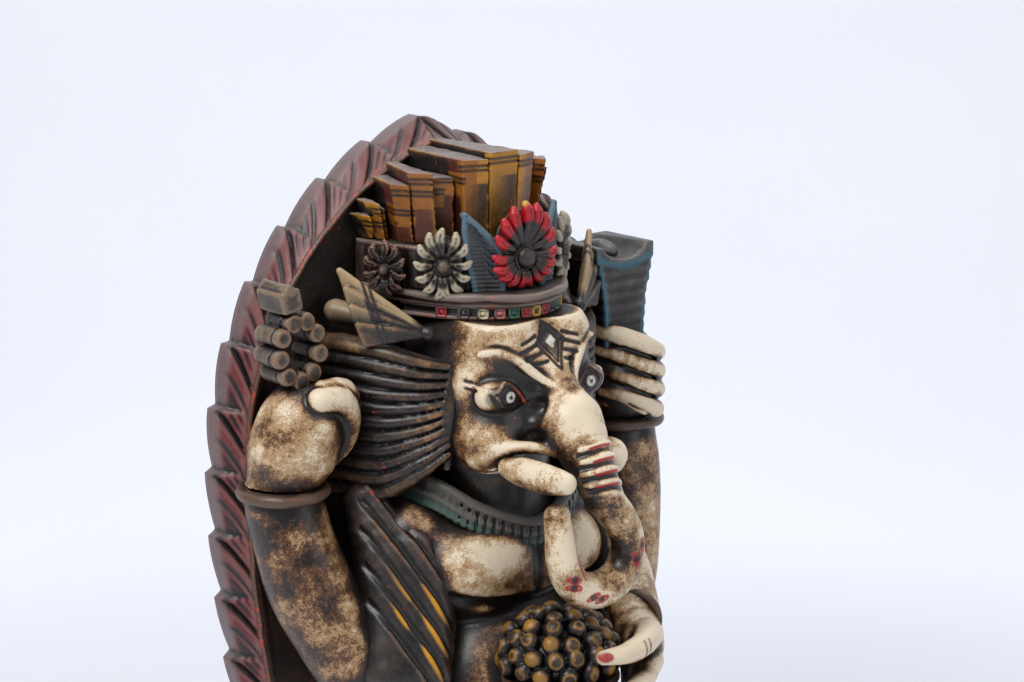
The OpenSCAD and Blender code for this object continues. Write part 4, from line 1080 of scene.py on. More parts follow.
def carve_shawls():
    for side, name in SIDES:
        node = name + "_shawl"
        a, b, mid = span(node)
        clay = Clay(a - (24, 20, 6), b + (24, 6, 14), 0.9)
        clay.add(limb(bend(sided(side, [(70, 20, b[2] - 2, 11), (68, 8, b[2] - 28, 16),
                                        (70, 0, mid[2] - 2, 18), (78, -10, a[2] + 22, 17)]), 4)), 0)
        clay.add(limb(bend(sided(side, [(57, 0, b[2] - 26, 14), (56, -8, mid[2], 17),
                                        (66, -17, a[2] + 20, 17)]), 4)), 5)
        clay.ripple(0.4, 9, 101 + side)
        bands = []
        for shift in (-16, -7, 2, 11, 20):
            path = [(side * (46 + 0.42 * t + shift * 0.8), mid[2] - 40 + t - shift * 0.6)
                    for t in np.linspace(0, 92, 25)]
            line = clay.land([(x, -50, z) for x, z in path], FRONT_WAY)
            line = line[line[:, 1] > -49]
            if len(line) > 2:
                clay.press(line, 1.5, 2.3).press(line + (side * 3.2, 0, 1), 1.7, -1.1)
                bands.append(line + (side * 3.6, 0, 1))
        clay.keep_side(1, SLAB_FRONT, -1)

        def masks(points, bands=bands):
            lowered = np.clip((mid[2] + 22 - points[:, 2]) / 16, 0.1, 1)
            return {"yellow_paint": painted(points, [(line, 0.9) for line in bands[1:4]], 0.9)
                    * lowered}

        skin(clay, node, "shawl", masks=masks)


def carve_front_arms():
    for side, name in SIDES:
        node = name + "_front_arm"
        a, b = low(node), high(node)
        clay = Clay(a - 4, b + 4, 1.0)
        if side > 0:
            line = [(57, -4, b[2] - 4, 17), (62, -24, b[2] - 31, 16), (55, -41, b[2] - 43, 14),
                    (48, -53, b[2] - 49, 12.8)]
        else:
            line = [(-56, 0, b[2] - 17, 16.5), (-80, -16, b[2] - 78, 16.5),
                    (-76, -40, b[2] - 94, 15), (-64, -64, b[2] - 106, 12.8)]
        clay.add(limb(bend(line, 4)), 0)
        clay.ripple(0.5, 12, 111 + side)
        rub_and_painted_shade = [(line[1][0] + side * 6, line[1][1] - 12, line[1][2], 12, 0.25)]
        skin(clay, node, "ivory", fine=2.0, rub_and_painted_shade=rub_and_painted_shade)


def carve_front_hands(sizes):
    a, b = low("left_front_hand"), high("left_front_hand")
    z = b[2] - 13.5
    clay = Clay(a - (5, 6, 8), b + (5, 5, 8), sizes.fine_step)
    clay.add(limb([(47, -54, z + 5, 12.3), (36, -69, z, 12)]), 0)
    clay.add(limb(bend([(37, -74, z + 7, 7.5), (22, -86, z + 8.5, 6.2), (6, -91, z + 8.5, 5.2),
                        (-8, -90, z + 9.2, 3.6)], 5)), 2)
    clay.add(limb(bend([(34, -78, z - 5, 7), (18, -90, z - 9, 5.6), (2, -93, z - 11.5, 4.6),
                        (-14, -91, z - 8.5, 4), (-24, -88, z - 4.5, 3.2)], 5)), 2)
    clay.add(limb(bend([(32, -70, z - 9, 8), (16, -84, z - 17, 6), (-2, -88, z - 20, 5)], 4)), 1.5)
    clay.ripple(0.3, 7, 121)
    knuckles = [clay.land([(x, -112, z + 8.5 + dz) for dz in (-4, 0, 4)], FRONT_WAY)
                for x in (21, 17)]
    for line in knuckles:
        clay.press(line, 0.8, 1.0)
    nails = [(-8.5, -92, z + 10, 3.0), (-24.5, -90, z - 4, 2.8)]

    def masks(points):
        red = np.zeros(len(points))
        for x, y, level, r in nails:
            away = np.linalg.norm((points - np.array([x, y, level])) / (1.3, 1.6, 0.8), axis=1)
            red = np.maximum(red, np.clip(r - away + 0.5, 0, 1))
        return {"red_paint": red,
                "dark_paint": painted(points, [(line, 0.6) for line in knuckles])}

    # Plus spots are rubbed paint; the minus spot is painted shadow in the hollow between the
    # fingers
    rub_and_painted_shade = [(20, -92, z + 12, 12, 0.35), (0, -96, z - 10, 12, 0.3), (34, -80, z + 4, 8, 0.15),
           (16, -88, z, 6, -0.5)]
    skin(clay, "left_front_hand", "ivory", masks=masks,
         rub_and_painted_shade=rub_and_painted_shade)

    a, b = low("right_front_hand"), high("right_front_hand")
    palm = np.array([(a[0] + b[0]) / 2, b[1] - 12, (a[2] + b[2]) / 2])
    clay = Clay(a - (7, 5, 5), b + (7, 5, 8), 0.85)
    clay.add(egg(palm, (12.5, 13, 13)), 0)
    for i in range(4):
        z = palm[2] + 9.5 - 6.2 * i
        finger = bend([palm + (dx, dy, z - palm[2]) for dx, dy in
                       ((11, -5), (9, -15), (-1, -17.5), (-9, -12))], 3)
        clay.add(rod(finger, 3.7), 1)
    clay.add(limb([tuple(palm + (-8, -6, 8)) + (4.6,), tuple(palm + (-2, -14, 14)) + (3.8,)]), 1.5)
    clay.ripple(0.3, 7, 122)
    skin(clay, "right_front_hand", "ivory")


def carve_radish():
    a, b, mid = span("radish")
    clay = Clay(a - 3, b + 3, 0.7)
    clay.add(limb(bend([(mid[0], mid[1], b[2] - 8, 8.6), (mid[0], mid[1], mid[2] + 4, 8.4),
        (mid[0], mid[1], mid[2] - 12, 6), (mid[0], mid[1] - 1, a[2] + 3, 2.2)], 5)), 0)
    clay.ripple(0.35, 6, 131)
    for level in np.arange(a[2] + 12, b[2] - 6, 6.5):
        clay.press(ring_path((mid[0], mid[1], level), 8.2, 8.2, (0, 6, 0), 20), 0.7, 0.6)
    skin(clay, "radish", "ivory",
         rub_and_painted_shade=[(mid[0], a[1], mid[2] + 8, 14, 0.25)])
    a, b, mid = span("radish_leaves")
    clay = Clay(a - 3, b + 3, 0.6)
    for i, tilt in enumerate((-24, -8, 10, 26)):
        lean = math.radians(tilt)
        for t in np.linspace(0, 1, 6):
            at = (mid[0] + math.sin(lean) * 24 * t, mid[1] - 1 + (i % 2) * 2,
                  a[2] + 3 + math.cos(lean) * 19 * t)
            clay.add(egg(at, (3.6 + 2.2 * math.sin(3 * t), 2.0, 3.6), (0, tilt, 0)), 0.8)
        line = clay.land([(mid[0] + math.sin(lean) * 24 * t, -130, a[2] + 3 + 19 * t)
                          for t in (0.1, 0.5, 0.9)], FRONT_WAY)
        clay.press(line, 0.7, 0.8)
    skin(clay, "radish_leaves", "green", fine=1.2)


def carve_sweets(sizes):
    a, b, mid = span("sweet_bowl")
    clay = Clay(a - 3, b + 3, 0.9)
    radius = (b[0] - a[0]) / 2
    floor = a[2]
    clay.add(egg((mid[0], -58, floor + 22), (radius - 1, radius - 4, 22)), 0)
    clay.keep_side(2, floor + 22, -1).keep_side(2, floor + 0.6, 1)
    lip = ring_path((mid[0], -58, floor + 20.5), radius - 2.2, radius - 5, steps=40)
    clay.add(rod(lip, 2.2), 1)
    for i in range(22):
        angle = math.tau * i / 22
        out = np.array([math.cos(angle), math.sin(angle), 0])
        clay.press(np.array([np.array([mid[0], -58, floor + 4]) + out * (radius - 13),
                             np.array([mid[0], -58, floor + 17]) + out * (radius - 3)]), 1.2, 0.9)
    clay.ripple(0.3, 7, 141)
    skin(clay, "sweet_bowl", "patina")

    a, b = low("sweets"), high("sweets")
    heart = np.array([(a[0] + b[0]) / 2, -56, a[2] + 9])
    rng = np.random.default_rng(14)
    size = sizes.sweet_radius
    clay = Clay(a - (3, 4, 4), b + (3, 4, 6), 0.62)
    clay.add(egg(heart, (26, 23, 17)), 0)
    balls = []
    rows = [(-0.10, 15), (0.27, 15), (0.60, 13), (0.93, 9), (1.25, 5)]
    for row, (rise, count) in enumerate(rows):
        for i in range(count):
            angle = math.tau * (i + 0.5 * (row % 2)) / count + rng.uniform(-0.06, 0.06)
            out = np.array([math.cos(angle) * math.cos(rise), math.sin(angle) * math.cos(rise),
                            math.sin(rise)])
            at = heart + out * (27.5, 27, 21) + rng.uniform(-0.5, 0.5, 3)
            if at[1] > -32:
                continue
            balls.append((at, out))
            clay.add(egg(at, size * rng.uniform(0.92, 1.06, 3)), 0.35)
    clay.ripple(0.22, 5, 142)

    def masks(points):
        gold, orange = np.zeros(len(points)), np.zeros(len(points))
        for i, (at, out) in enumerate(balls):
            near = np.abs(points - at).max(1) < size + 2
            facing = ((points[near] - at) @ out) / size
            ringed = np.clip(1 - np.abs(facing - 0.80) / 0.10, 0, 1) if i % 3 else \
                np.clip((facing - 0.55) * 4, 0, 1)
            gold[near] = np.maximum(gold[near], ringed * (0.6 + 0.4 * ((i * 7) % 5) / 4))
        return {"gold_paint": gold, "orange_paint": orange}

    skin(clay, "sweets", "sweet", fine=1.4, masks=masks)


def carve_rosary(sizes):
    a, b, mid = span("rosary")
    centre = np.array([(a[0] + b[0]) / 2, mid[1], a[2] + 19])
    clay = Clay(a - (3, 3, 3), b + (3, 3, 3), 0.6)
    half = (b[1] - a[1]) / 2
    radius, count = 4.7, sizes.bead_count
    rings, rims = [], []
    for i in range(count):
        angle = math.tau * i / count + math.pi / 2 + math.pi / count
        at = centre + (11.5 * math.cos(angle), 0, 15 * math.sin(angle))
        clay.add(limb([(at[0], a[1] + radius * 0.6, at[2], radius),
                       (at[0], b[1] - radius, at[2], radius)]), 0.2)
        front = np.array([at[0], a[1] - 1.4, at[2]])
        clay.cut(block(front, (6, 1.8, 6), 0.5), 0.3)
        rings.append(ring_path((at[0], a[1] + 5.6, at[2]), radius, radius, (90, 0, 0), 16))
        rims.append(at)
    clay.add(block((centre[0] - 5, mid[1], b[2] - 7), (5.6, half, 5.5), 1.2, (0, -12, 0)), 0.8)
    clay.add(block((centre[0] - 6, mid[1], b[2] - 1.5), (2.8, half, 2.4), 1.2, (0, 36, 0)), 1.5)
    for ring in rings:
        clay.press(ring, 0.8, 0.8)
    clay.ripple(0.35, 6, 151)

    def masks(points):
        total = np.zeros(len(points))
        for at in rims:
            away = np.hypot(points[:, 0] - at[0], points[:, 2] - at[2])
            face = np.clip((a[1] + 2.4 - points[:, 1]) / 1.2, 0, 1)
            total = np.maximum(total, np.clip(1 - np.abs(away - 3.9) / 0.8, 0, 1) * face)
        return {"orange_paint": total * 0.6, "dark_paint": np.zeros(len(points))}

    skin(clay, "rosary", "rosary", fine=1.4, masks=masks)


def carve_axe():
    a, b, mid = span("axe_head")
    clay = Clay(a - (5, 4, 3), b + (6, 3, 6), 0.65)
    for t in np.linspace(0, 1, 9):
        z = a[2] + 2 + t * (b[2] - a[2])
        flare = 13.5 + 6.5 * t ** 2.2
        clay.add(block((mid[0], (a[1] + SLAB_FRONT) / 2 + 2, z), (flare, 19, 4.5), 1.0), 1.5)
    clay.cut(egg((mid[0], -2, b[2] + 9), (16, 60, 11)), 2)
    clay.cut(egg((mid[0] - 13, a[1] - 2, mid[2]), (8, 5, 60)), 2)
    clay.cut(egg((mid[0] + 13, a[1] - 2, mid[2]), (8, 5, 60)), 2)
    clay.ripple(0.35, 8, 161)
    edges = [np.array([(mid[0] + s * 19.5, a[1] + 3, b[2] + 2),
                       (mid[0] + s * 13.6, a[1] + 4, mid[2] - 6),
                       (mid[0] + s * 13, a[1] + 4, a[2])]) for s in (-1, 1)]
    rim = bend([(mid[0] + dx, a[1] + 3, b[2] + 1 - 5.5 * (1 - (dx / 20) ** 2))
                for dx in (-20, -10, 0, 10, 20)], 5)
    clay.keep_side(1, SLAB_FRONT, -1)

    def masks(points):
        return {"blue_paint": np.maximum(line_mask(points, rim, 1.2, 1.5),
                                         painted(points, [(path, 1.4) for path in edges], 1.8))}

    skin(clay, "axe_head", "axe", fine=1.4, masks=masks)
    a, b, mid = span("axe_handle")
    clay = Clay(a - 3, b + 3, 0.65)
    clay.add(limb([(mid[0], a[1] + 7, a[2] + 4, 5), (mid[0], a[1] + 7, b[2] - 8, 5.4)]), 0)
    clay.add(egg((mid[0], a[1] + 11, b[2] - 5.5), (7.2, 12, 6)), 1.5)
    clay.press(ring_path((mid[0], a[1] + 11, b[2] - 8), 7.5, 12.5, (0, 0, 0), 30), 0.9, 1.0)
    clay.ripple(0.3, 6, 162)
    skin(clay, "axe_handle", "axe", fine=1.4)


def carve_legs():
    for side, name in SIDES:
        node = name + "_leg"
        a, b = low(node), high(node)
        clay = Clay(a - (4, 5, 2), b + (4, 6, 4), 1.2)
        top = SEAT_TOP
        forward = 8 if side < 0 else 0
        clay.add(limb(bend(sided(side, [(30, 0, top + 20, 24), (56, -20, top + 20, 23),
                                        (72, -36, top + 18, 22), (60, -46 - forward, top + 17, 19),
                                        (34, -52 - forward, top + 15, 16),
                                        (14, -56 - forward, top + 13, 13)]), 4)), 1)
        foot = side * -10 if side < 0 else side * 8
        clay.add(limb(bend([(side * 16, -55 - forward, top + 12, 12),
                            (side * 4, -59 - forward, top + 9, 9.5),
                            (foot * 1.2, -61 - forward, top + 8, 8)], 4)), 3)
        for i in range(5):
            clay.add(limb([
                (foot * 1.1, -57 - forward - 2.6 * i, top + 13 - 2.2 * i, 4.2 - 0.25 * i),
                (foot * 1.1 - side * 9, -58 - forward - 2.7 * i, top + 12.5 - 2.3 * i,
                 3.4 - 0.2 * i)]), 0.6)
        clay.ripple(0.6, 15, 171 + side)
        clay.keep_side(2, top, 1)
        skin(clay, node, "ivory", fine=2.4,
             rub_and_painted_shade=[(side * 72, -46, top + 34, 20, 0.2), (side * 40, -60, top + 24, 16, 0.1)])
    a, b = low("waist_cloth"), high("waist_cloth")
    mid = (a + b) / 2
    clay = Clay(a - (4, 5, 4), b + (4, 3, 3), 0.9)
    clay.add(block((0, b[1] - 12, mid[2]), (20, 9, (b[2] - a[2]) / 2), 4), 0)
    clay.add(egg((0, b[1] - 16, a[2] + 5), (19, 8, 8)), 3)
    clay.ripple(0.4, 9, 175)
    for i in range(-3, 4):
        line = clay.land([(i * (3.6 + 1.6 * t), -130, b[2] - 2 - 30 * t)
                          for t in np.linspace(0, 1, 8)], FRONT_WAY)
        clay.press(line, 1.3, 1.6)
    hem = clay.land([(x, -130, a[2] + 5 + 0.01 * x * x) for x in np.linspace(-17, 17, 13)],
        FRONT_WAY)
    clay.press(hem, 1.0, -0.8).press(hem + (0, 0, 3), 0.8, 0.9)
    skin(clay, "waist_cloth", "cloth", fine=1.8)


# ---- plinth, seat and back slab ----

def carve_base():
    a, b = low("plinth"), high("plinth")
    half, mid = (b - a) / 2, (a + b) / 2
    clay = Clay(a - (4, 4, 3), b + (4, 4, 3), 1.7)
    clay.add(block((0, 0, 11), (half[0] - 0.5, half[1] - 0.5, 11), 1.8), 0)
    clay.add(block((0, 0, mid[2] + 5), (half[0] - 8, half[1] - 8, half[2] - 5), 2.5), 2)
    for level, inset, width, depth in ((8, 0, 1.8, 1.8), (15.5, 0, 1.6, 1.4), (26, 8, 1.5, 1.2)):
        x, y = half[0] - inset, half[1] - inset
        corner = np.array([(-x, -y, level), (x, -y, level), (x, y, level), (-x, y, level),
                           (-x, -y, level)])
        clay.press(corner, width, depth)
    clay.ripple(0.5, 18, 181)
    clay.keep_side(2, 0.0, 1)
    skin(clay, "plinth", "plinth", fine=3.2, adaptivity=0.004)

    a, b = low("lotus_seat"), high("lotus_seat")
    half, mid = (b - a) / 2, (a + b) / 2
    depth = (b[1] - a[1]) * 0.6
    middle_y = b[1] - (b[1] - a[1]) + depth
    clay = Clay(a - 4, b + 4, 1.5)
    for inset, z0, z1, soft in ((1, a[2], a[2] + 9, 0), (8, a[2], b[2], 3), (0, b[2] - 7, b[2], 3)):
        clay.add(oval_wall(half[0] - inset, depth - inset, z0, z1, middle_y), soft)
    lip = ring_path((0, middle_y, b[2] - 3.5), half[0], depth, steps=60)
    clay.press(lip, 1.4, 1.6)
    clay.ripple(0.4, 14, 182)
    clay.keep_side(1, SLAB_FRONT, -1).keep_side(2, a[2], 1).keep_side(2, b[2], -1)
    skin(clay, "lotus_seat", "seat", fine=2.6, adaptivity=0.004)

    a, b = low("seat_petals"), high("seat_petals")
    clay = Clay(a - (4, 4, 5), b + (4, 8, 4), 1.05)
    count = 17
    for i in range(count):
        angle = math.pi + math.pi * (i + 0.5) / count
        out = np.array([half[0] * math.cos(angle), depth * math.sin(angle), 0])
        way = math.degrees(math.atan2(out[1] * half[0] ** 2, out[0] * depth ** 2))
        root = np.array([0, middle_y, a[2] + 1]) + out * 0.93
        normal = np.array([math.cos(math.radians(way)), math.sin(math.radians(way)), 0])
        clay.add(egg(root + (0, 0, 11) - normal * 2.5, (5, 9.2, 13), (0, 0, way)), 0)
        clay.add(egg(root + (0, 0, 24) + normal * 0.5, (3.6, 3.4, 7), (0, 0, way)), 3)
        clay.press(np.array([root + normal * 3.5 + (0, 0, 4), root + normal * 4.2 + (0, 0, 22)]),
                   0.9, 1.0)
        for turn in (-1, 1):
            across = np.array([-normal[1], normal[0], 0]) * turn
            clay.press(bend([root + normal * 2.5 + across * 5.6 + (0, 0, 3),
                             root + normal * 3 + across * 5.2 + (0, 0, 14),
                             root + normal * 4 + across * 1.2 + (0, 0, 24)], 4), 0.8, 0.8)
    clay.ripple(0.3, 9, 183)
    clay.keep_side(1, SLAB_FRONT, -1)
    skin(clay, "seat_petals", "petal", fine=2.2)


def slab_shape():
    """Radii of the slab's outline, from its box: widest level, arch and long side curves."""
    top, half = SLAB_TOP, SLAB_HALF
    spring = PLINTH_TOP + 0.61 * (top - PLINTH_TOP)
    rise = top - spring
    radius = (rise * rise + half * half) / (2 * half)
    return spring, radius, radius - half, 650.0


def slab_edge(s, inset=0.0):
    """Point (x, z) and outward direction s millimetres down the left edge from the apex."""
    spring, radius, shift, long_radius = slab_shape()
    apex = math.acos(shift / radius)
    run = radius * apex
    if s < run:
        angle = apex - s / radius
        out = (math.cos(angle), math.sin(angle))
        return (radius - inset) * out[0] - shift, spring + (radius - inset) * out[1], out
    angle = (s - run) / long_radius
    out = (math.cos(angle), -math.sin(angle))
    return SLAB_HALF - long_radius + (long_radius - inset) * out[0], \
        spring + (long_radius - inset) * out[1], out


def slab_run():
    spring, radius, shift, long_radius = slab_shape()
    return radius * math.acos(shift / radius) + \
        long_radius * math.asin((spring - PLINTH_TOP) / long_radius)


def build_slab():
    """The board: rows across its face between the two edges, front and back, with an edge wall."""
    width = SLAB_TOP - high("back_slab")[2]
    run, rows, columns = slab_run(), 150, 80
    rng_axes = [np.arange(-140, 141, 2.0), np.arange(0, 461, 2.0), np.array([0.0, 1.0])]
    swell = lattice([rng_axes[0], rng_axes[1], np.array([0.0])], 17, 191)[:, :, 0]
    points = []
    levels = [slab_edge(s, width) for s in np.linspace(0, run * 0.999, rows)]
    levels = [p for p in levels if p[0] > 0.2]
    rows = len(levels)
    for face, y in ((0, SLAB_FRONT), (1, SLAB_BACK)):
        for x, z, _ in levels:
            for t in np.linspace(-1, 1, columns):
                i, j = int((x * t + 140) / 2), int(np.clip(z, 0, 459) / 2)
                rim = 1.2 * max(0, (abs(t) - 0.985) / 0.015)
                dent = 0.45 * (1 - swell[i, j]) * (1 if abs(t) < 0.97 else 0)
                points.append((x * t, y + (dent + rim) * (1 if face == 0 else -1), z))
    points = np.array(points)
    grid = np.arange(2 * rows * columns).reshape(2, rows, columns)
    front = grid[0]
    back = grid[1]
    quads = [np.stack([front[:-1, :-1], front[1:, :-1], front[1:, 1:], front[:-1, 1:]], -1),
             np.stack([back[:-1, :-1], back[:-1, 1:], back[1:, 1:], back[1:, :-1]], -1)]
    loop_front = np.concatenate([front[0], front[1:, -1], front[-1, ::-1][1:],
        front[::-1, 0][1:-1]])
    loop_back = np.concatenate([back[0], back[1:, -1], back[-1, ::-1][1:], back[::-1, 0][1:-1]])
    wall = np.stack([loop_front, np.roll(loop_front, -1), np.roll(loop_back, -1), loop_back], -1)
    mesh = make_mesh("back_slab", points, [np.concatenate([q.reshape(-1, 4) for q in quads]
                                                          + [wall])])
    place("back_slab", mesh, "slab", sharp=50)

    width_bead = 2.6
    path = [slab_edge(s, width + 0.6) for s in np.linspace(run * 0.92, 0, 220)]
    path = [(x, z) for x, z, _ in path if x > 0.3]
    path = np.array(path + [(-x, z) for x, z in path[::-1]])
    along = np.gradient(path, axis=0)
    along /= np.linalg.norm(along, axis=1)[:, None]
    normal = np.stack([along[:, 1], -along[:, 0]], 1)
    ring = [(-1, 0.3), (-0.8, -1.2), (-0.3, -1.9), (0.3, -1.9), (0.8, -1.2), (1, 0.3)]
    rng = np.random.default_rng(19)
    wobble = np.interp(np.arange(len(path)), np.arange(0, len(path) + 8, 4),
                       rng.uniform(-0.25, 0.25, len(np.arange(0, len(path) + 8, 4))))
    points = np.array([(p[0] + n[0] * (a * width_bead / 2 + w), SLAB_FRONT + d + w * 0.5,
                        p[1] + n[1] * (a * width_bead / 2 + w))
                       for p, n, w in zip(path, normal, wobble) for a, d in ring])
    grid = np.arange(len(points)).reshape(len(path), len(ring))
    quads = np.stack([grid[:-1], np.roll(grid, -1, 1)[:-1], np.roll(grid, -1, 1)[1:], grid[1:]],
                     -1).reshape(-1, 4)
    ends = np.array([grid[0][[0, 1, 4, 5]][::-1], grid[-1][[0, 1, 4, 5]],
                     grid[0][[1, 2, 3, 4]][::-1], grid[-1][[1, 2, 3, 4]]])
    mesh = make_mesh("slab_moulding", points, [np.concatenate([quads, ends])])
    place("slab_moulding", mesh, "slab")


def build_leaf_border(sizes):
    """Carved leaves that overlap up the slab's edge, bevelled back from the moulding."""
    width = SLAB_TOP - high("back_slab")[2]
    run, count = slab_run(), sizes.leaf_count
    pitch = run / count
    rows = int(run / 1.0)
    section = [(t, 0) for t in np.linspace(0, 1, 20)] + [(1, 0.35), (1, 0.7), (1, 1.0)] + \
        [(t, 1) for t in np.linspace(0.85, 0, 5)]
    thick_front = SLAB_BACK - 8.5
    for side, name in SIDES:
        rng = np.random.default_rng(20 + side)
        jitter = rng.uniform(-0.06, 0.06, count + 4)
        points, grey, dark = [], [], []
        for s in np.linspace(0, run, rows):
            tip_phase = s / pitch
            f_edge = (tip_phase + 0.02) % 1
            notch = sizes.leaf_notch * (f_edge ** 1.7) * (1 - np.clip((f_edge - 0.93) / 0.07, 0, 1))
            for t, back in section:
                inset = width + 0.5 - t * (width - 0.5 - notch)
                x, z, out = slab_edge(s, inset)
                phase = s / pitch - 0.62 * (1 - t) ** 1.3
                leaf = int(math.floor(phase)) + 2
                f = phase % 1
                f = min(max(f + jitter[leaf % len(jitter)] * math.sin(math.pi * f), 0), 1)
                y = SLAB_FRONT + 0.6 + (thick_front - SLAB_FRONT - 0.6) * t ** 0.9
                shade_grey = shade_dark = 0.0
                if back == 0:
                    rise = 3.3 * min(f / 0.13, 1) ** 0.7 * (1 - f) ** 0.55 * (0.5 + 0.5 * t)
                    vein = 1.5 * math.exp(-((f - 0.40) / 0.055) ** 2) * (1 - 0.6 * t)
                    curl = 0
                    for c in (0.62, 0.80):
                        curl += 0.9 * math.exp(-((f - c - 0.10 * (t - 0.5) ** 2) / 0.035) ** 2)
                    curl *= max(0, 1 - abs(t - 0.45) / 0.5)
                    gap = 2.6 * math.exp(-(f / 0.04) ** 2) + 2.2 * math.exp(-((1 - f) / 0.045) ** 2)
                    lift = rise - vein - curl - gap
                    y -= lift * 0.85
                    x += out[0] * lift * 0.25
                    z += out[1] * lift * 0.25
                    shade_dark = max(math.exp(-(f / 0.08) ** 2), math.exp(-((1 - f) / 0.09) ** 2),
                                     0.8 * min(1, vein), 0.7 * min(1, curl))
                    shade_grey = max(0, (t - 0.82) / 0.18) * 0.7 + 0.5 * math.exp(
                        -((f - 0.47) / 0.05) ** 2)
                else:
                    y += (SLAB_BACK - y) * back if t >= 1 else (SLAB_BACK - y)
                    shade_grey = 0.9
                if side > 0:
                    shade_grey = max(shade_grey, 0.55)
                points.append((side * max(x, 0.0), min(y, SLAB_BACK), z))
                grey.append(shade_grey)
                dark.append(shade_dark)
        points = np.array(points)
        points[:, 2] = np.clip(points[:, 2], PLINTH_TOP, SLAB_TOP + 1.5)
        grid = np.arange(len(points)).reshape(rows, len(section))
        quads = np.stack([grid[:-1], grid[1:], np.roll(grid, -1, 1)[1:], np.roll(grid, -1, 1)[:-1]],
                         -1).reshape(-1, 4)
        if side < 0:
            quads = quads[:, ::-1]
        caps = []
        for row, flip in ((grid[0], side < 0), (grid[-1], side > 0)):
            fan = np.stack([row, np.roll(row, -1), np.full(len(row), len(points))], 1)
            caps.append(fan[:, ::-1] if flip else fan)
            points = np.vstack([points, points[row].mean(0)])
            grey.append(0.9)
            dark.append(0.0)
        mesh = make_mesh("leaf_border_" + name, points, [quads, np.concatenate(caps)])
        put_mask(mesh, "grey_paint", grey)
        put_mask(mesh, "dark_paint", dark)
        place("leaf_border_" + name, mesh, "leaf")


# ---- crown ----

def band_point(angle, grow, z, node="headband"):
    half_x, half_y = high(node)[0] + grow, SLAB_FRONT - low(node)[1] + grow
    return np.array([half_x * math.sin(angle), SLAB_FRONT - half_y * math.cos(angle), z])


def carve_headband(sizes):
    a, b = low("headband"), high("headband")
    clay = Clay((a[0] - 5, a[1] - 5, a[2] - 2), (b[0] + 5, 20, b[2] + 3), 0.55)
    clay.add(oval_wall(b[0] - 1.6, SLAB_FRONT - a[1] - 1.6, a[2], b[2]), 0)
    angles = np.linspace(-1.25, 1.25, 60)
    clay.add(rod([band_point(t, -0.6, a[2] + 0.9) for t in angles], 1.3), 0.8)
    clay.add(rod([band_point(t, -0.4, b[2] - 0.5) for t in angles], 1.2), 0.8)
    clay.ripple(0.2, 6, 201)
    clay.keep_side(2, a[2], 1).keep_side(2, b[2], -1)
    skin(clay, "headband", "crown", fine=1.2)

    colours = {0: "yellow", -1: "red", -2: "green", -3: "pink", -4: "light", 1: "red", 2: "dark",
               3: "green", 4: "yellow", 5: "red", -5: "dark", 6: "light", -6: "red"}
    clay = Clay((a[0] - 5, a[1] - 6, a[2] - 2), (b[0] + 5, 20, b[2] + 3), 0.5)
    middle_z = (a[2] + b[2]) / 2
    spots = []
    half = sizes.gem_size / 2
    for i, colour in colours.items():
        angle = i * 0.122 + 0.0006 * i ** 3
        at = band_point(angle, -0.2, middle_z)
        turn = math.degrees(math.atan2(math.sin(angle) * (SLAB_FRONT - a[1]),
                                       math.cos(angle) * b[0]))
        clay.add(block(at, (half + 0.5, 1.5, half + 0.3), 0.5, (0, 0, turn)), 0)
        out = band_point(angle, 1.6, middle_z)
        clay.cut(block(out, (half - 0.5, 0.9, half - 0.7), 0.3, (0, 0, turn)), 0.2)
        clay.add(ball(band_point(angle, 0.2, middle_z), half - 1.2), 0.2)
        spots.append((out, colour))
    clay.ripple(0.15, 5, 202)

    def masks(points):
        found = {key + "_paint": np.zeros(len(points)) for key in
                 ("red", "green", "yellow", "light", "pink")}
        for at, colour in spots:
            if colour == "dark":
                continue
            away = np.linalg.norm(points - at, axis=1)
            if colour == "yellow":
                value = np.clip(1.4 - np.abs(away - 2.3) / 0.7, 0, 1)
            elif colour == "green":
                value = np.clip(3.8 - away, 0, 1) * 0.75
            else:
                value = np.clip(3.2 - away, 0, 1)
            key = colour + "_paint"
            found[key] = np.maximum(found[key], value)
        return found

    skin(clay, "headband_stones", "stone", fine=0.9,
         masks=masks)


def carve_rim_and_drum():
    a, b = low("crown_rim"), high("crown_rim")
    clay = Clay((a[0] - 5, a[1] - 5, a[2] - 2), (b[0] + 5, SLAB_FRONT + 2, b[2] + 3), 0.75)
    clay.add(oval_wall(b[0] - 1, SLAB_FRONT - a[1] - 1, a[2], b[2]), 0)
    edge = [band_point(t, -0.8, b[2] - 1.6, "crown_rim") + (0, 0, 0.5 * math.sin(9 * t))
            for t in np.linspace(-1.5, 1.5, 80)]
    clay.add(rod(edge, 1.9), 1.2)
    clay.press([band_point(t, 0.6, a[2] + 1.2, "crown_rim") for t in np.linspace(-1.5, 1.5, 60)],
               0.8, 0.8)
    clay.ripple(0.4, 8, 203)
    clay.keep_side(2, a[2], 1).keep_side(1, SLAB_FRONT, -1)
    skin(clay, "crown_rim", "crown", fine=1.6)

    a, b = low("crown_drum"), high("crown_drum")
    clay = Clay((a[0] - 4, a[1] - 4, a[2] - 2), (b[0] + 4, SLAB_FRONT + 2, b[2] + 3), 0.95)
    clay.add(oval_wall(b[0] - 0.5, SLAB_FRONT - a[1] - 0.5, a[2], b[2]), 0)
    for t in np.linspace(-1.45, 1.45, 30):
        clay.press([band_point(t, 0, a[2] + 2, "crown_drum"),
                    band_point(t, 0, b[2] - 3, "crown_drum")], 1.0, 0.9)
    clay.press([band_point(t, 0, b[2] - 2.5, "crown_drum") for t in np.linspace(-1.5, 1.5, 60)],
               0.9, 0.9)
    clay.ripple(0.4, 8, 204)
    clay.keep_side(2, a[2], 1).keep_side(2, b[2], -1).keep_side(1, SLAB_FRONT, -1)
    skin(clay, "crown_drum", "crown", fine=1.8)


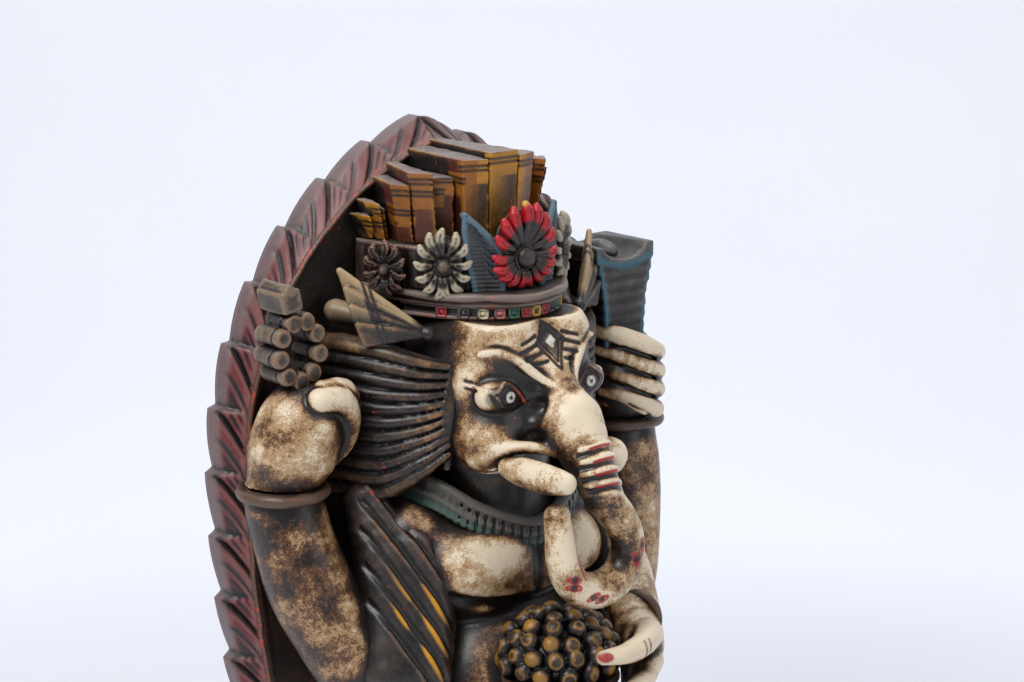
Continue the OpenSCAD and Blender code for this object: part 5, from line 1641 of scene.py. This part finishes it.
# Edges of the staves outwards: share of the half width at the front and at the slab, drop of the
# top below the centre stave, and how far the stave outside that edge stands back
STAVE_EDGES = ((0.175, 0.07, 1), (0.42, 0.32, 3), (0.64, 0.43, 6), (0.79, 0.54, 9),
               (0.88, 0.7, 15), (0.93, 0.8, 22), (0.97, 0.9, 25), (1, 1, 32))
FOOT_SHARE = 0.86


def wedge(foot, head, z0, z1):
    """Upright block between two four-cornered outlines, the lower and the upper one."""
    foot, head = np.array(foot, float), np.array(head, float)
    planes = []
    middle = np.append((foot.mean(0) + head.mean(0)) / 2, (z0 + z1) / 2)
    for i in range(4):
        p = np.append(foot[i], z0)
        q = np.append(foot[(i + 1) % 4], z0)
        r = np.append((head[i] + head[(i + 1) % 4]) / 2, z1)
        n = np.cross(q - p, r - p)
        n /= np.linalg.norm(n)
        if n @ (middle - p) > 0:
            n = -n
        planes.append((n, n @ p))

    def distance(x, y, z):
        d = np.maximum(z0 - z, z - z1)
        for n, level in planes:
            d = np.maximum(d, n[0] * x + n[1] * y + n[2] * z - level)
        return d

    corners = np.vstack([foot, head])
    return distance, np.append(corners.min(0), z0), np.append(corners.max(0), z1)


def carve_staves(sizes):
    half = high("crown_left_staves")[0] * 1.005
    depth = SLAB_FRONT - STAVE_FRONT
    foot_z = DRUM_TOP
    cut = sizes.saw_cut / 2

    def corners(i, z, set_back, shift, side):
        front, back, drop = STAVE_EDGES[i]
        lean = FOOT_SHARE + (1 - FOOT_SHARE) * (z - foot_z) / (CROWN_TOP - drop - foot_z)
        y = SLAB_FRONT - depth * math.sqrt(1 - front ** 2) + set_back + (1 - lean) * 16
        return [(side * (front * half * lean + shift), min(y, SLAB_FRONT - 4)),
                (side * (back * half * lean + shift), SLAB_FRONT + 2)]

    staves = {"crown_centre_stave": [], "crown_right_staves": [], "crown_left_staves": []}
    near, far = corners(0, foot_z, 0, -cut, 1), corners(0, CROWN_TOP, 0, -cut, 1)
    outline = [[edge[0], edge[1], (-edge[1][0], edge[1][1]), (-edge[0][0], edge[0][1])]
               for edge in (near, far)]
    staves["crown_centre_stave"].append((outline, CROWN_TOP, 0))
    for side, node in ((-1, "crown_right_staves"), (1, "crown_left_staves")):
        for i in range(len(STAVE_EDGES) - 1):
            recessed = 1 if i in (1, 4) else 0
            top = CROWN_TOP - STAVE_EDGES[i + 1][2] - 6 * recessed
            outline = []
            for z in (foot_z, top):
                one = corners(i, z, 7 * recessed, cut, side)
                two = corners(i + 1, z, 7 * recessed, -cut, side)
                outline.append([one[0], one[1], two[1], two[0]])
            staves[node].append((outline, top, recessed))
    for seed, (node, rods) in enumerate(staves.items()):
        a, b = low(node), high(node)
        clay = Clay(a - (3, 3, 2), b + (3, 2, 4), 0.6)
        for outline, top, recessed in rods:
            clay.add(wedge(outline[0], outline[1], foot_z, top), 0)
        clay.ripple(0.3, 7, 211 + seed)
        clay.ripple(0.12, 2.4, 215 + seed)
        for outline, top, recessed in rods:
            if recessed:
                continue
            p, q = outline[1][0], outline[1][3]
            for drop, width, push in ((3.4, 0.6, 1.0), (5.6, 0.5, 0.9)):
                line = np.array([(p[0], p[1] + drop * 0.1, top - drop),
                                 (q[0], q[1] + drop * 0.1, top - drop)])
                clay.press(line, width, push)
        clay.keep_side(1, SLAB_FRONT, -1).keep_side(2, foot_z, 1)

        def masks(points, rods=rods):
            yellow, dark = np.zeros(len(points)), np.zeros(len(points))
            red = np.zeros(len(points))
            for outline, top, recessed in rods:
                xs = [c[0] for c in outline[1]] + [c[0] for c in outline[0]]
                p, q = outline[1][0], outline[1][3]
                inside = (points[:, 0] > min(xs) - 0.4) & (points[:, 0] < max(xs) + 0.4)
                t = np.clip((points[:, 0] - p[0]) / (q[0] - p[0] + 1e-6), 0, 1)
                face = p[1] + (q[1] - p[1]) * t
                near_front = np.clip((face + 5.5 - points[:, 1]) / 1.5, 0, 1) * inside
                down = top - points[:, 2]
                if recessed:
                    red = np.maximum(red, near_front * np.clip(1 - down / 40, 0.2, 1))
                    continue
                left = np.clip(1.2 - (points[:, 0] - min(p[0], q[0])) /
                               (abs(q[0] - p[0]) + 1e-6) * 1.5, 0.1, 1)
                left = np.maximum(left, (down < 12) * 0.85)
                yellow = np.maximum(yellow, near_front * left * (down > 0.6)
                                    * np.clip(1.2 - down / 42, 0.3, 1))
                for level in (3.4, 5.6):
                    dark = np.maximum(dark, near_front
                                      * np.clip(1.8 - np.abs(down - level) / 0.6, 0, 1))
            return {"yellow_paint": yellow, "dark_paint": dark, "red_paint": red}

        skin(clay, node, "stave", fine=1.3, masks=masks)


def carve_rosettes():
    """Ovals of comma-shaped petals: front one red-tipped, the others silver and copper."""
    # turn about Z, half width, height above and below the button, petals and finish
    ovals = {"front_rosette": (0.0, 21.0, 28.5, 15.5, 17, "rosette_red"),
             "right_rosette": (-36.0, 14.5, 19.5, 17.0, 13, "rosette_silver"),
             "left_rosette": (36.0, 14.5, 19.5, 17.0, 13, "rosette_silver"),
             "right_rear_rosette": (-62.0, 11.5, 15.5, 13.0, 11, "rosette_copper"),
             "left_rear_rosette": (62.0, 11.5, 15.5, 13.0, 11, "rosette_copper")}
    for seed, (node, (turn, wide, up, down, count, coat)) in enumerate(ovals.items()):
        a, b = low(node), high(node)
        centre = (a + b) / 2
        if node == "front_rosette":
            centre[1] = a[1] + 5.0
            centre[2] = RIM_TOP + down + 0.5
        elif "rear" not in node:
            centre += np.array([turn / 36 * 1.0, -4.0, -4.0])
        else:
            centre += np.array([turn / 62 * 3.0, -2.5, -3.0])
        clay = Clay((-wide - 4, -7, -down - 4), (wide + 4, 7, up + 4), 0.5)
        clay.add(egg((0, 3, (up - down) / 2), (wide * 0.78, 3.2, (up + down) * 0.39)), 0)
        tips = []
        for i in range(count):
            angle = math.tau * (i + 0.5) / count
            side, rise = math.sin(angle), -math.cos(angle)
            reach = math.hypot(side * wide, rise * (up if rise > 0 else down))
            way = np.array([side * wide, 0, rise * (up if rise > 0 else down)]) / reach
            across = np.array([way[2], 0, -way[0]]) * (1 if side > 0 else -1)
            size = reach * 0.07 + 0.7
            path = bend([way * reach * 0.24 + (0, 0.4, 0),
                         way * reach * 0.50 + across * 0.6 + (0, -1.2, 0),
                         way * reach * 0.74 + across * 1.5 + (0, -1.8, 0),
                         way * reach * 0.93 + across * 0.2 + (0, -0.9, 0)], 4)
            sizes_along = np.interp(np.linspace(0, 1, len(path)), (0, 0.45, 0.8, 1),
                                    (size * 0.6, size * 1.0, size * 1.15, size * 0.7))
            clay.add(limb(np.column_stack([path, sizes_along])), 0.25)
            clay.press(path[4:-2] + (0, -size, 0), 0.55, 0.9)
            tips.append((way * reach * 0.84 + across * 1.0, size * 2.5))
        clay.add(egg((0, -1.5, 0), (wide * 0.25, 3.8, wide * 0.25)), 0)
        clay.press(ring_path((0, -1.6, 0), wide * 0.31, wide * 0.31, (90, 0, 0), 24), 0.7, 1.0)
        clay.ripple(0.2, 4, 221 + seed)
        local, faces = take_skin(clay)
        mesh = make_mesh(node, local @ turned((0, 0, turn)).T + centre, faces)
        put_mask(mesh, "carve", standing_out(clay.d, clay.low, clay.step, local, 1.0))
        ends = np.zeros(len(local))
        for tip, r in tips:
            ends = np.maximum(ends, np.clip((r - np.linalg.norm(local - tip, axis=1)) / 1.0 + 0.6,
                                            0, 1))
        proud = np.clip((2.0 - local[:, 1]) / 1.5, 0, 1)
        if node == "front_rosette":
            put_mask(mesh, "red_paint", ends * proud)
            top = np.clip(2.6 - np.linalg.norm(local - (0, -1, up * 0.95), axis=1), 0, 1)
            put_mask(mesh, "yellow_paint", top)
        elif "rear" not in node:
            put_mask(mesh, "light_paint", ends * proud * 0.9)
            put_mask(mesh, "dark_paint", np.clip((local[:, 1] - 0.5) / 1.5, 0, 1))
        place(node, mesh, coat)


def carve_crown_leaves():
    """Pointed leaves beside the front rosette, hollowed, with a raised blue edge."""
    a, b = low("crown_leaves"), high("crown_leaves")
    clay = Clay(a - (5, 5, 2), b + (5, 6, 5), 0.5)
    lines, strokes = [], []
    for side in (-1, 1):
        base = np.array([side * 21, -12.5, RIM_TOP])
        outward = np.array([side * 0.90, 0.42, 0])
        upward = np.array([0, 0, 1])

        def spot(u, v, proud=0.0, base=base, outward=outward, side=side):
            return base + outward * u + upward * v + np.array([side * -0.42, -0.9, 0]) * proud

        edge_in = [spot(-8, 1, 3), spot(-7.5, 12, 3.4), spot(-5, 22, 3.2), spot(2, 31, 2.4),
                   spot(9, 38.5, 1)]
        edge_out = [spot(4, 1, 1), spot(7, 12, 1.2), spot(8.5, 22, 1.2), spot(9.5, 30, 1),
                    spot(9, 38.5, 1)]
        left, right = bend(edge_in, 5), bend(edge_out, 5)
        for p, q in zip(left, right):
            clay.add(limb([tuple(p) + (1.6,), tuple((p + q) / 2 + np.array([0, 1.6, 0])) + (1.7,),
                           tuple(q) + (1.5,)]), 0.4)
        clay.add(rod(left, 1.5), 0.5)
        lines += [left, right]
        for t in np.linspace(0.1, 0.85, 8):
            i = int(t * (len(left) - 1))
            j = min(i + 3, len(left) - 1)
            strokes.append(np.array([left[i] * 0.85 + right[i] * 0.15, (left[j] + right[j]) / 2 +
                                     np.array([0, -1, 0])]))
    for stroke in strokes:
        clay.press(stroke, 0.6, 0.7)
    clay.ripple(0.15, 5, 231)

    def masks(points):
        blue = painted(points, [(line, 1.5) for line in lines], 0.6)
        dark = painted(points, [(stroke, 0.6) for stroke in strokes])
        return {"blue_paint": blue, "dark_paint": dark * (1 - blue)}

    clay.keep_side(2, RIM_TOP, 1)
    skin(clay, "crown_leaves", "crown_leaf", fine=1.1,
         masks=masks)


# ---- wear of the whole idol ----

def faces_of(mesh):
    """Corner lists of a mesh's triangles and quads."""
    totals = np.empty(len(mesh.polygons), np.int32)
    mesh.polygons.foreach_get("loop_total", totals)
    starts = np.empty(len(mesh.polygons), np.int32)
    mesh.polygons.foreach_get("loop_start", starts)
    corners = np.empty(len(mesh.loops), np.int32)
    mesh.loops.foreach_get("vertex_index", corners)
    return [corners[starts[totals == n][:, None] + np.arange(n)].astype(np.uint32) for n in (3, 4)]


def fill_cells(points, faces, reach, count, first=(0, 0, 0)):
    """Distances round closed faces, all counted in cells, out to reach cells."""
    grid = openvdb.FloatGrid.createLevelSetFromPolygons(
        points.astype(np.float32), faces[0], faces[1], openvdb.createLinearTransform(1.0), reach)
    values = np.full(count, reach, np.float32)
    grid.copyToArray(values, ijk=tuple(int(v) for v in first))
    return values


# Millimetres round a point within which its place on a form, and in a deep hollow, is judged
FORM_REACH, DEPTH_REACH = 4.5, 12.0


def season():
    """Marks every piece with how far each point stands out of, or lies hollow in, the idol."""
    step, reach, margin = 2.0, 7, 26
    lowest = np.floor((np.array(CAD_BOX[0]) / MM - margin) / step) * step
    count = np.ceil((np.array(CAD_BOX[1]) / MM + margin - lowest) / step).astype(int)
    idol = np.full(count, step * reach, np.float32)
    for piece, _ in PIECES:
        cells = (points_of(piece.data) - lowest) / step
        first = np.maximum(np.floor(cells.min(0)).astype(int) - reach - 1, 0)
        end = np.minimum(np.ceil(cells.max(0)).astype(int) + reach + 2, count)
        values = fill_cells(cells, faces_of(piece.data), float(reach), end - first, first)
        cut = tuple(slice(p, q) for p, q in zip(first, end))
        idol[cut] = np.minimum(idol[cut], values * step)
    for piece, rub_and_painted_shade in PIECES:
        mesh = piece.data
        points = points_of(mesh)
        put_mask(mesh, "form", standing_out(idol, lowest, step, points, FORM_REACH))
        put_mask(mesh, "depth", standing_out(idol, lowest, step, points, DEPTH_REACH))
        # Spots of rubbed paint and of painted shade, given with each piece
        put_mask(mesh, "rub_and_painted_shade", spot_mask(points, rub_and_painted_shade))
        if "carve" not in mesh.attributes:
            fine, thick = 0.9, 3.0
            corner = points.min(0) - fine * (thick + 2)
            count = np.ceil((points.max(0) - corner) / fine).astype(int) + int(thick) + 3
            near = fill_cells((points - corner) / fine, faces_of(mesh), thick, count) * fine
            put_mask(mesh, "carve", standing_out(near, corner, fine, points, 2 * fine))


# ---- stage, light and camera ----

def direction(bearing, rise):
    """Way out from the idol at that bearing from its front and that height angle, in degrees."""
    b, r = math.radians(bearing), math.radians(rise)
    return Vector((math.sin(b) * math.cos(r), -math.cos(b) * math.cos(r), math.sin(r)))


def build_stage(look):
    """Pale floor that sweeps up into a wall, soft light, and the camera."""
    points = []
    depth, width, radius, lift = 1500.0, 4200.0, 700.0, 3600.0
    turn = math.radians(look.azimuth)
    away = np.array([-math.sin(turn), math.cos(turn)])
    across = np.array([math.cos(turn), math.sin(turn)])
    profile = [(-2600.0, 0.0), (depth - radius, 0.0)]
    profile += [(depth - radius + radius * math.sin(t), radius - radius * math.cos(t))
                for t in np.linspace(0, math.pi / 2, 13)[1:]]
    profile.append((depth, lift))
    for run, z in profile:
        for side in (-1, 1):
            p = away * run + across * side * width
            points.append((p[0], p[1], z))
    grid = np.arange(len(points)).reshape(len(profile), 2)
    quads = np.stack([grid[:-1, 0], grid[:-1, 1], grid[1:, 1], grid[1:, 0]], -1)
    floor = put_in_scene("floor", make_mesh("floor", points, [quads]))
    material = bpy.data.materials.new("pale_floor")
    material.use_nodes = True
    s = Shelf(material.node_tree)
    s.tree.nodes.clear()
    shade = s.mix(s.between(s.noise(600, 2, 0.5), 0.3, 0.7), paint("e9ebf1"), paint("eef0f5"))
    spot = s.node("ShaderNodeTexCoord").outputs["Object"]
    away = s.node("ShaderNodeVectorMath", {0: spot}, operation="LENGTH").outputs["Value"]
    glow = s.mix(s.between(away, 0.45, 0.95), (0, 0, 0, 1), paint("eff0f5"))
    shader = s.node("ShaderNodeBsdfPrincipled", {
        "Base Color": shade, "Roughness": 0.9, "Emission Color": glow,
        "Emission Strength": look.wall_glow})
    s.node("ShaderNodeOutputMaterial", {"Surface": shader.outputs[0]})
    floor.data.materials.append(material)

    world = bpy.data.worlds.new("soft_daylight")
    bpy.context.scene.world = world
    world.use_nodes = True
    world.node_tree.nodes["Background"].inputs[0].default_value = paint("e8edf8")
    world.node_tree.nodes["Background"].inputs[1].default_value = look.sky
    bpy.context.scene.view_settings.view_transform = "Standard"

    target = Vector((0.8, -10.0, look.aim_height)) * MM
    back = direction(look.azimuth, look.elevation)
    camera = put_in_scene("camera", bpy.data.cameras.new("camera"))
    camera.data.lens = look.lens
    camera.data.sensor_width = 36
    camera.data.clip_end = 50
    camera.location = target + back * look.distance * MM
    camera.rotation_euler = back.to_track_quat("Z", "Y").to_euler()
    bpy.context.scene.camera = camera

    middle = Vector((0, 0, 280)) * MM
    for label, bearing, rise, reach, size, power in (
            ("key", look.azimuth - 38, 52, 1.5, 0.9, look.key_power),
            ("fill", look.azimuth + 55, 25, 1.8, 1.2, look.key_power * 0.28),
            ("top", look.azimuth + 160, 68, 1.5, 0.8, look.key_power * 0.45)):
        light = bpy.data.lights.new(label, "AREA")
        light.shape, light.size, light.energy = "DISK", size, power
        lamp = put_in_scene(label, light)
        way = direction(bearing, rise)
        lamp.location = middle + way * reach
        lamp.rotation_euler = way.to_track_quat("Z", "Y").to_euler()


# ---- add-on: settings, operators and panel ----

def number(name, description, default, **limits):
    return bpy.props.FloatProperty(name=name, description=description, default=default, **limits)


def count_of(name, description, default, lowest, highest):
    return bpy.props.IntProperty(name=name, description=description, default=default,
                                 min=lowest, max=highest)


class IdolSizes(bpy.types.PropertyGroup):
    """Sizes of the carving, in millimetres."""
    fine_step: number("Finest carving", "Grid step of the face, trunk and front hand, in mm", 0.72,
                      min=0.4, max=2.0)
    ear_pleats: count_of("Ear pleats", "Pleats in each ear fan", 11, 6, 16)
    leaf_count: count_of("Border leaves", "Leaves on each side of the slab", 15, 8, 20)
    leaf_notch: number("Leaf notch", "Depth of the notch between two border leaves, in mm", 5.0,
                       min=1.0, max=9.0)
    bead_count: count_of("Rosary beads", "Beads in the ring of the rosary", 9, 6, 14)
    sweet_radius: number("Sweet radius", "Radius of one sweet ball, in mm", 5.1, min=3.0, max=7.0)
    gem_size: number("Stone size", "Width of a headband stone, in mm", 5.0, min=3.0, max=7.0)
    saw_cut: number("Saw cut", "Gap between two crown staves, in mm", 0.9, min=0.3, max=2.0)


class IdolLook(bpy.types.PropertyGroup):
    """Light and camera."""
    azimuth: number("Azimuth", "Camera bearing, in degrees from the front", -40.0)
    elevation: number("Elevation", "Camera height angle, in degrees", 13.0)
    distance: number("Distance", "Camera distance from its target, in mm", 1280.0, min=300.0)
    aim_height: number("Aim height", "Height of the camera's target, in mm", 349.6)
    lens: number("Lens", "Focal length of the camera, in mm", 90.0, min=20.0)
    key_power: number("Key light", "Power of the key light, in watts", 16.0, min=0.0,
                      unit="POWER")
    sky: number("Sky", "Strength of the soft daylight all round", 0.34, min=0.0)
    wall_glow: number("Wall glow", "Evenness of the pale wall and floor", 0.22, min=0.0)


def finish_pegs():
    for node in ("seat_pegs", "slab_pins", "chest_pegs"):
        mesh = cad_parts[node].data
        mesh.materials.clear()
        mesh.materials.append(COATS["peg"])


class IdolFinishes(bpy.types.Operator):
    """Mixes the worn paint and patina finishes"""
    bl_idname = "idol.finishes"
    bl_label = "Mix finishes"

    def execute(self, context):
        mix_coats()
        return {"FINISHED"}


class IdolHead(bpy.types.Operator):
    """Carves the head with brows, eyes and forehead marks"""
    bl_idname = "idol.head"
    bl_label = "Carve head"

    def execute(self, context):
        carve_head(context.scene.idol_sizes)
        return {"FINISHED"}


class IdolTrunk(bpy.types.Operator):
    """Carves the trunk with its red lines, and the tusks"""
    bl_idname = "idol.trunk"
    bl_label = "Carve trunk and tusks"

    def execute(self, context):
        carve_trunk(context.scene.idol_sizes)
        return {"FINISHED"}


class IdolEars(bpy.types.Operator):
    """Carves the pleated ear fans"""
    bl_idname = "idol.ears"
    bl_label = "Carve ears"

    def execute(self, context):
        carve_ears(context.scene.idol_sizes)
        return {"FINISHED"}


class IdolRibbons(bpy.types.Operator):
    """Carves the pleated ribbon fans beside the headband"""
    bl_idname = "idol.ribbons"
    bl_label = "Carve ribbons"

    def execute(self, context):
        carve_ribbons()
        return {"FINISHED"}


class IdolTorso(bpy.types.Operator):
    """Carves the belly, chest and shoulders"""
    bl_idname = "idol.torso"
    bl_label = "Carve torso"

    def execute(self, context):
        carve_torso()
        return {"FINISHED"}


class IdolNecklace(bpy.types.Operator):
    """Carves the feathered collar"""
    bl_idname = "idol.necklace"
    bl_label = "Carve necklace"

    def execute(self, context):
        carve_necklace()
        return {"FINISHED"}


class IdolRearArms(bpy.types.Operator):
    """Carves the rear arms and hands"""
    bl_idname = "idol.rear_arms"
    bl_label = "Carve rear arms"

    def execute(self, context):
        carve_rear_arms()
        carve_rear_hands()
        return {"FINISHED"}


class IdolBangles(bpy.types.Operator):
    """Carves the bangles and anklets"""
    bl_idname = "idol.bangles"
    bl_label = "Carve bangles"

    def execute(self, context):
        carve_bangles()
        return {"FINISHED"}


class IdolShawls(bpy.types.Operator):
    """Carves the folded cloth over the upper arms"""
    bl_idname = "idol.shawls"
    bl_label = "Carve shawls"

    def execute(self, context):
        carve_shawls()
        return {"FINISHED"}


class IdolFrontArms(bpy.types.Operator):
    """Carves the front arms and hands"""
    bl_idname = "idol.front_arms"
    bl_label = "Carve front arms"

    def execute(self, context):
        carve_front_arms()
        carve_front_hands(context.scene.idol_sizes)
        return {"FINISHED"}


class IdolAttributes(bpy.types.Operator):
    """Carves the rosary, axe, sweets and radish"""
    bl_idname = "idol.attributes"
    bl_label = "Carve attributes"

    def execute(self, context):
        carve_rosary(context.scene.idol_sizes)
        carve_axe()
        carve_sweets(context.scene.idol_sizes)
        carve_radish()
        return {"FINISHED"}


class IdolLegs(bpy.types.Operator):
    """Carves the legs, feet and waist cloth"""
    bl_idname = "idol.legs"
    bl_label = "Carve legs"

    def execute(self, context):
        carve_legs()
        return {"FINISHED"}


class IdolBase(bpy.types.Operator):
    """Carves the plinth and the lotus seat"""
    bl_idname = "idol.base"
    bl_label = "Carve plinth and seat"

    def execute(self, context):
        carve_base()
        return {"FINISHED"}


class IdolSlab(bpy.types.Operator):
    """Builds the back slab, its bead and its leaf border"""
    bl_idname = "idol.slab"
    bl_label = "Build back slab"

    def execute(self, context):
        build_slab()
        build_leaf_border(context.scene.idol_sizes)
        return {"FINISHED"}


class IdolHeadband(bpy.types.Operator):
    """Carves the headband, its stones, the rim and the drum"""
    bl_idname = "idol.headband"
    bl_label = "Carve headband"

    def execute(self, context):
        carve_headband(context.scene.idol_sizes)
        carve_rim_and_drum()
        return {"FINISHED"}


class IdolStaves(bpy.types.Operator):
    """Carves the flat staves of the crown"""
    bl_idname = "idol.staves"
    bl_label = "Carve crown staves"

    def execute(self, context):
        carve_staves(context.scene.idol_sizes)
        return {"FINISHED"}


class IdolRosettes(bpy.types.Operator):
    """Carves the rosettes and pointed leaves of the crown"""
    bl_idname = "idol.rosettes"
    bl_label = "Carve rosettes"

    def execute(self, context):
        carve_rosettes()
        carve_crown_leaves()
        return {"FINISHED"}


class IdolPegs(bpy.types.Operator):
    """Gives the hidden pegs their bare wood"""
    bl_idname = "idol.pegs"
    bl_label = "Finish pegs"

    def execute(self, context):
        finish_pegs()
        return {"FINISHED"}


class IdolWear(bpy.types.Operator):
    """Marks where paint is rubbed, where shade is painted and where dirt lies"""
    bl_idname = "idol.wear"
    bl_label = "Season the idol"

    def execute(self, context):
        season()
        return {"FINISHED"}


class IdolStage(bpy.types.Operator):
    """Lays the pale floor and sets the light and the camera"""
    bl_idname = "idol.stage"
    bl_label = "Set the stage"

    def execute(self, context):
        build_stage(context.scene.idol_look)
        return {"FINISHED"}


OPERATORS = (IdolFinishes, IdolHead, IdolTrunk, IdolEars, IdolRibbons, IdolTorso, IdolNecklace,
             IdolRearArms, IdolBangles, IdolShawls, IdolFrontArms, IdolAttributes, IdolLegs,
             IdolBase, IdolSlab, IdolHeadband, IdolStaves, IdolRosettes, IdolPegs, IdolWear,
             IdolStage)


class IdolPanel(bpy.types.Panel):
    """Sizes, light and building steps of the idol"""
    bl_idname = "VIEW3D_PT_idol"
    bl_label = "Carved idol"
    bl_space_type = "VIEW_3D"
    bl_region_type = "UI"
    bl_category = "Idol"

    def draw(self, context):
        for group in (context.scene.idol_sizes, context.scene.idol_look):
            box = self.layout.box()
            for key in group.bl_rna.properties.keys():
                if key not in ("rna_type", "name"):
                    box.prop(group, key)
        for step in OPERATORS:
            self.layout.operator(step.bl_idname)


CLASSES = (IdolSizes, IdolLook) + OPERATORS + (IdolPanel,)


def register():
    for cls in CLASSES:
        bpy.utils.register_class(cls)
    bpy.types.Scene.idol_sizes = bpy.props.PointerProperty(type=IdolSizes)
    bpy.types.Scene.idol_look = bpy.props.PointerProperty(type=IdolLook)


def unregister():
    del bpy.types.Scene.idol_look
    del bpy.types.Scene.idol_sizes
    for cls in reversed(CLASSES):
        bpy.utils.unregister_class(cls)


def main():
    register()
    for step in OPERATORS:
        getattr(bpy.ops.idol, step.bl_idname.split(".")[1])()


if __name__ == "__main__":
    main()
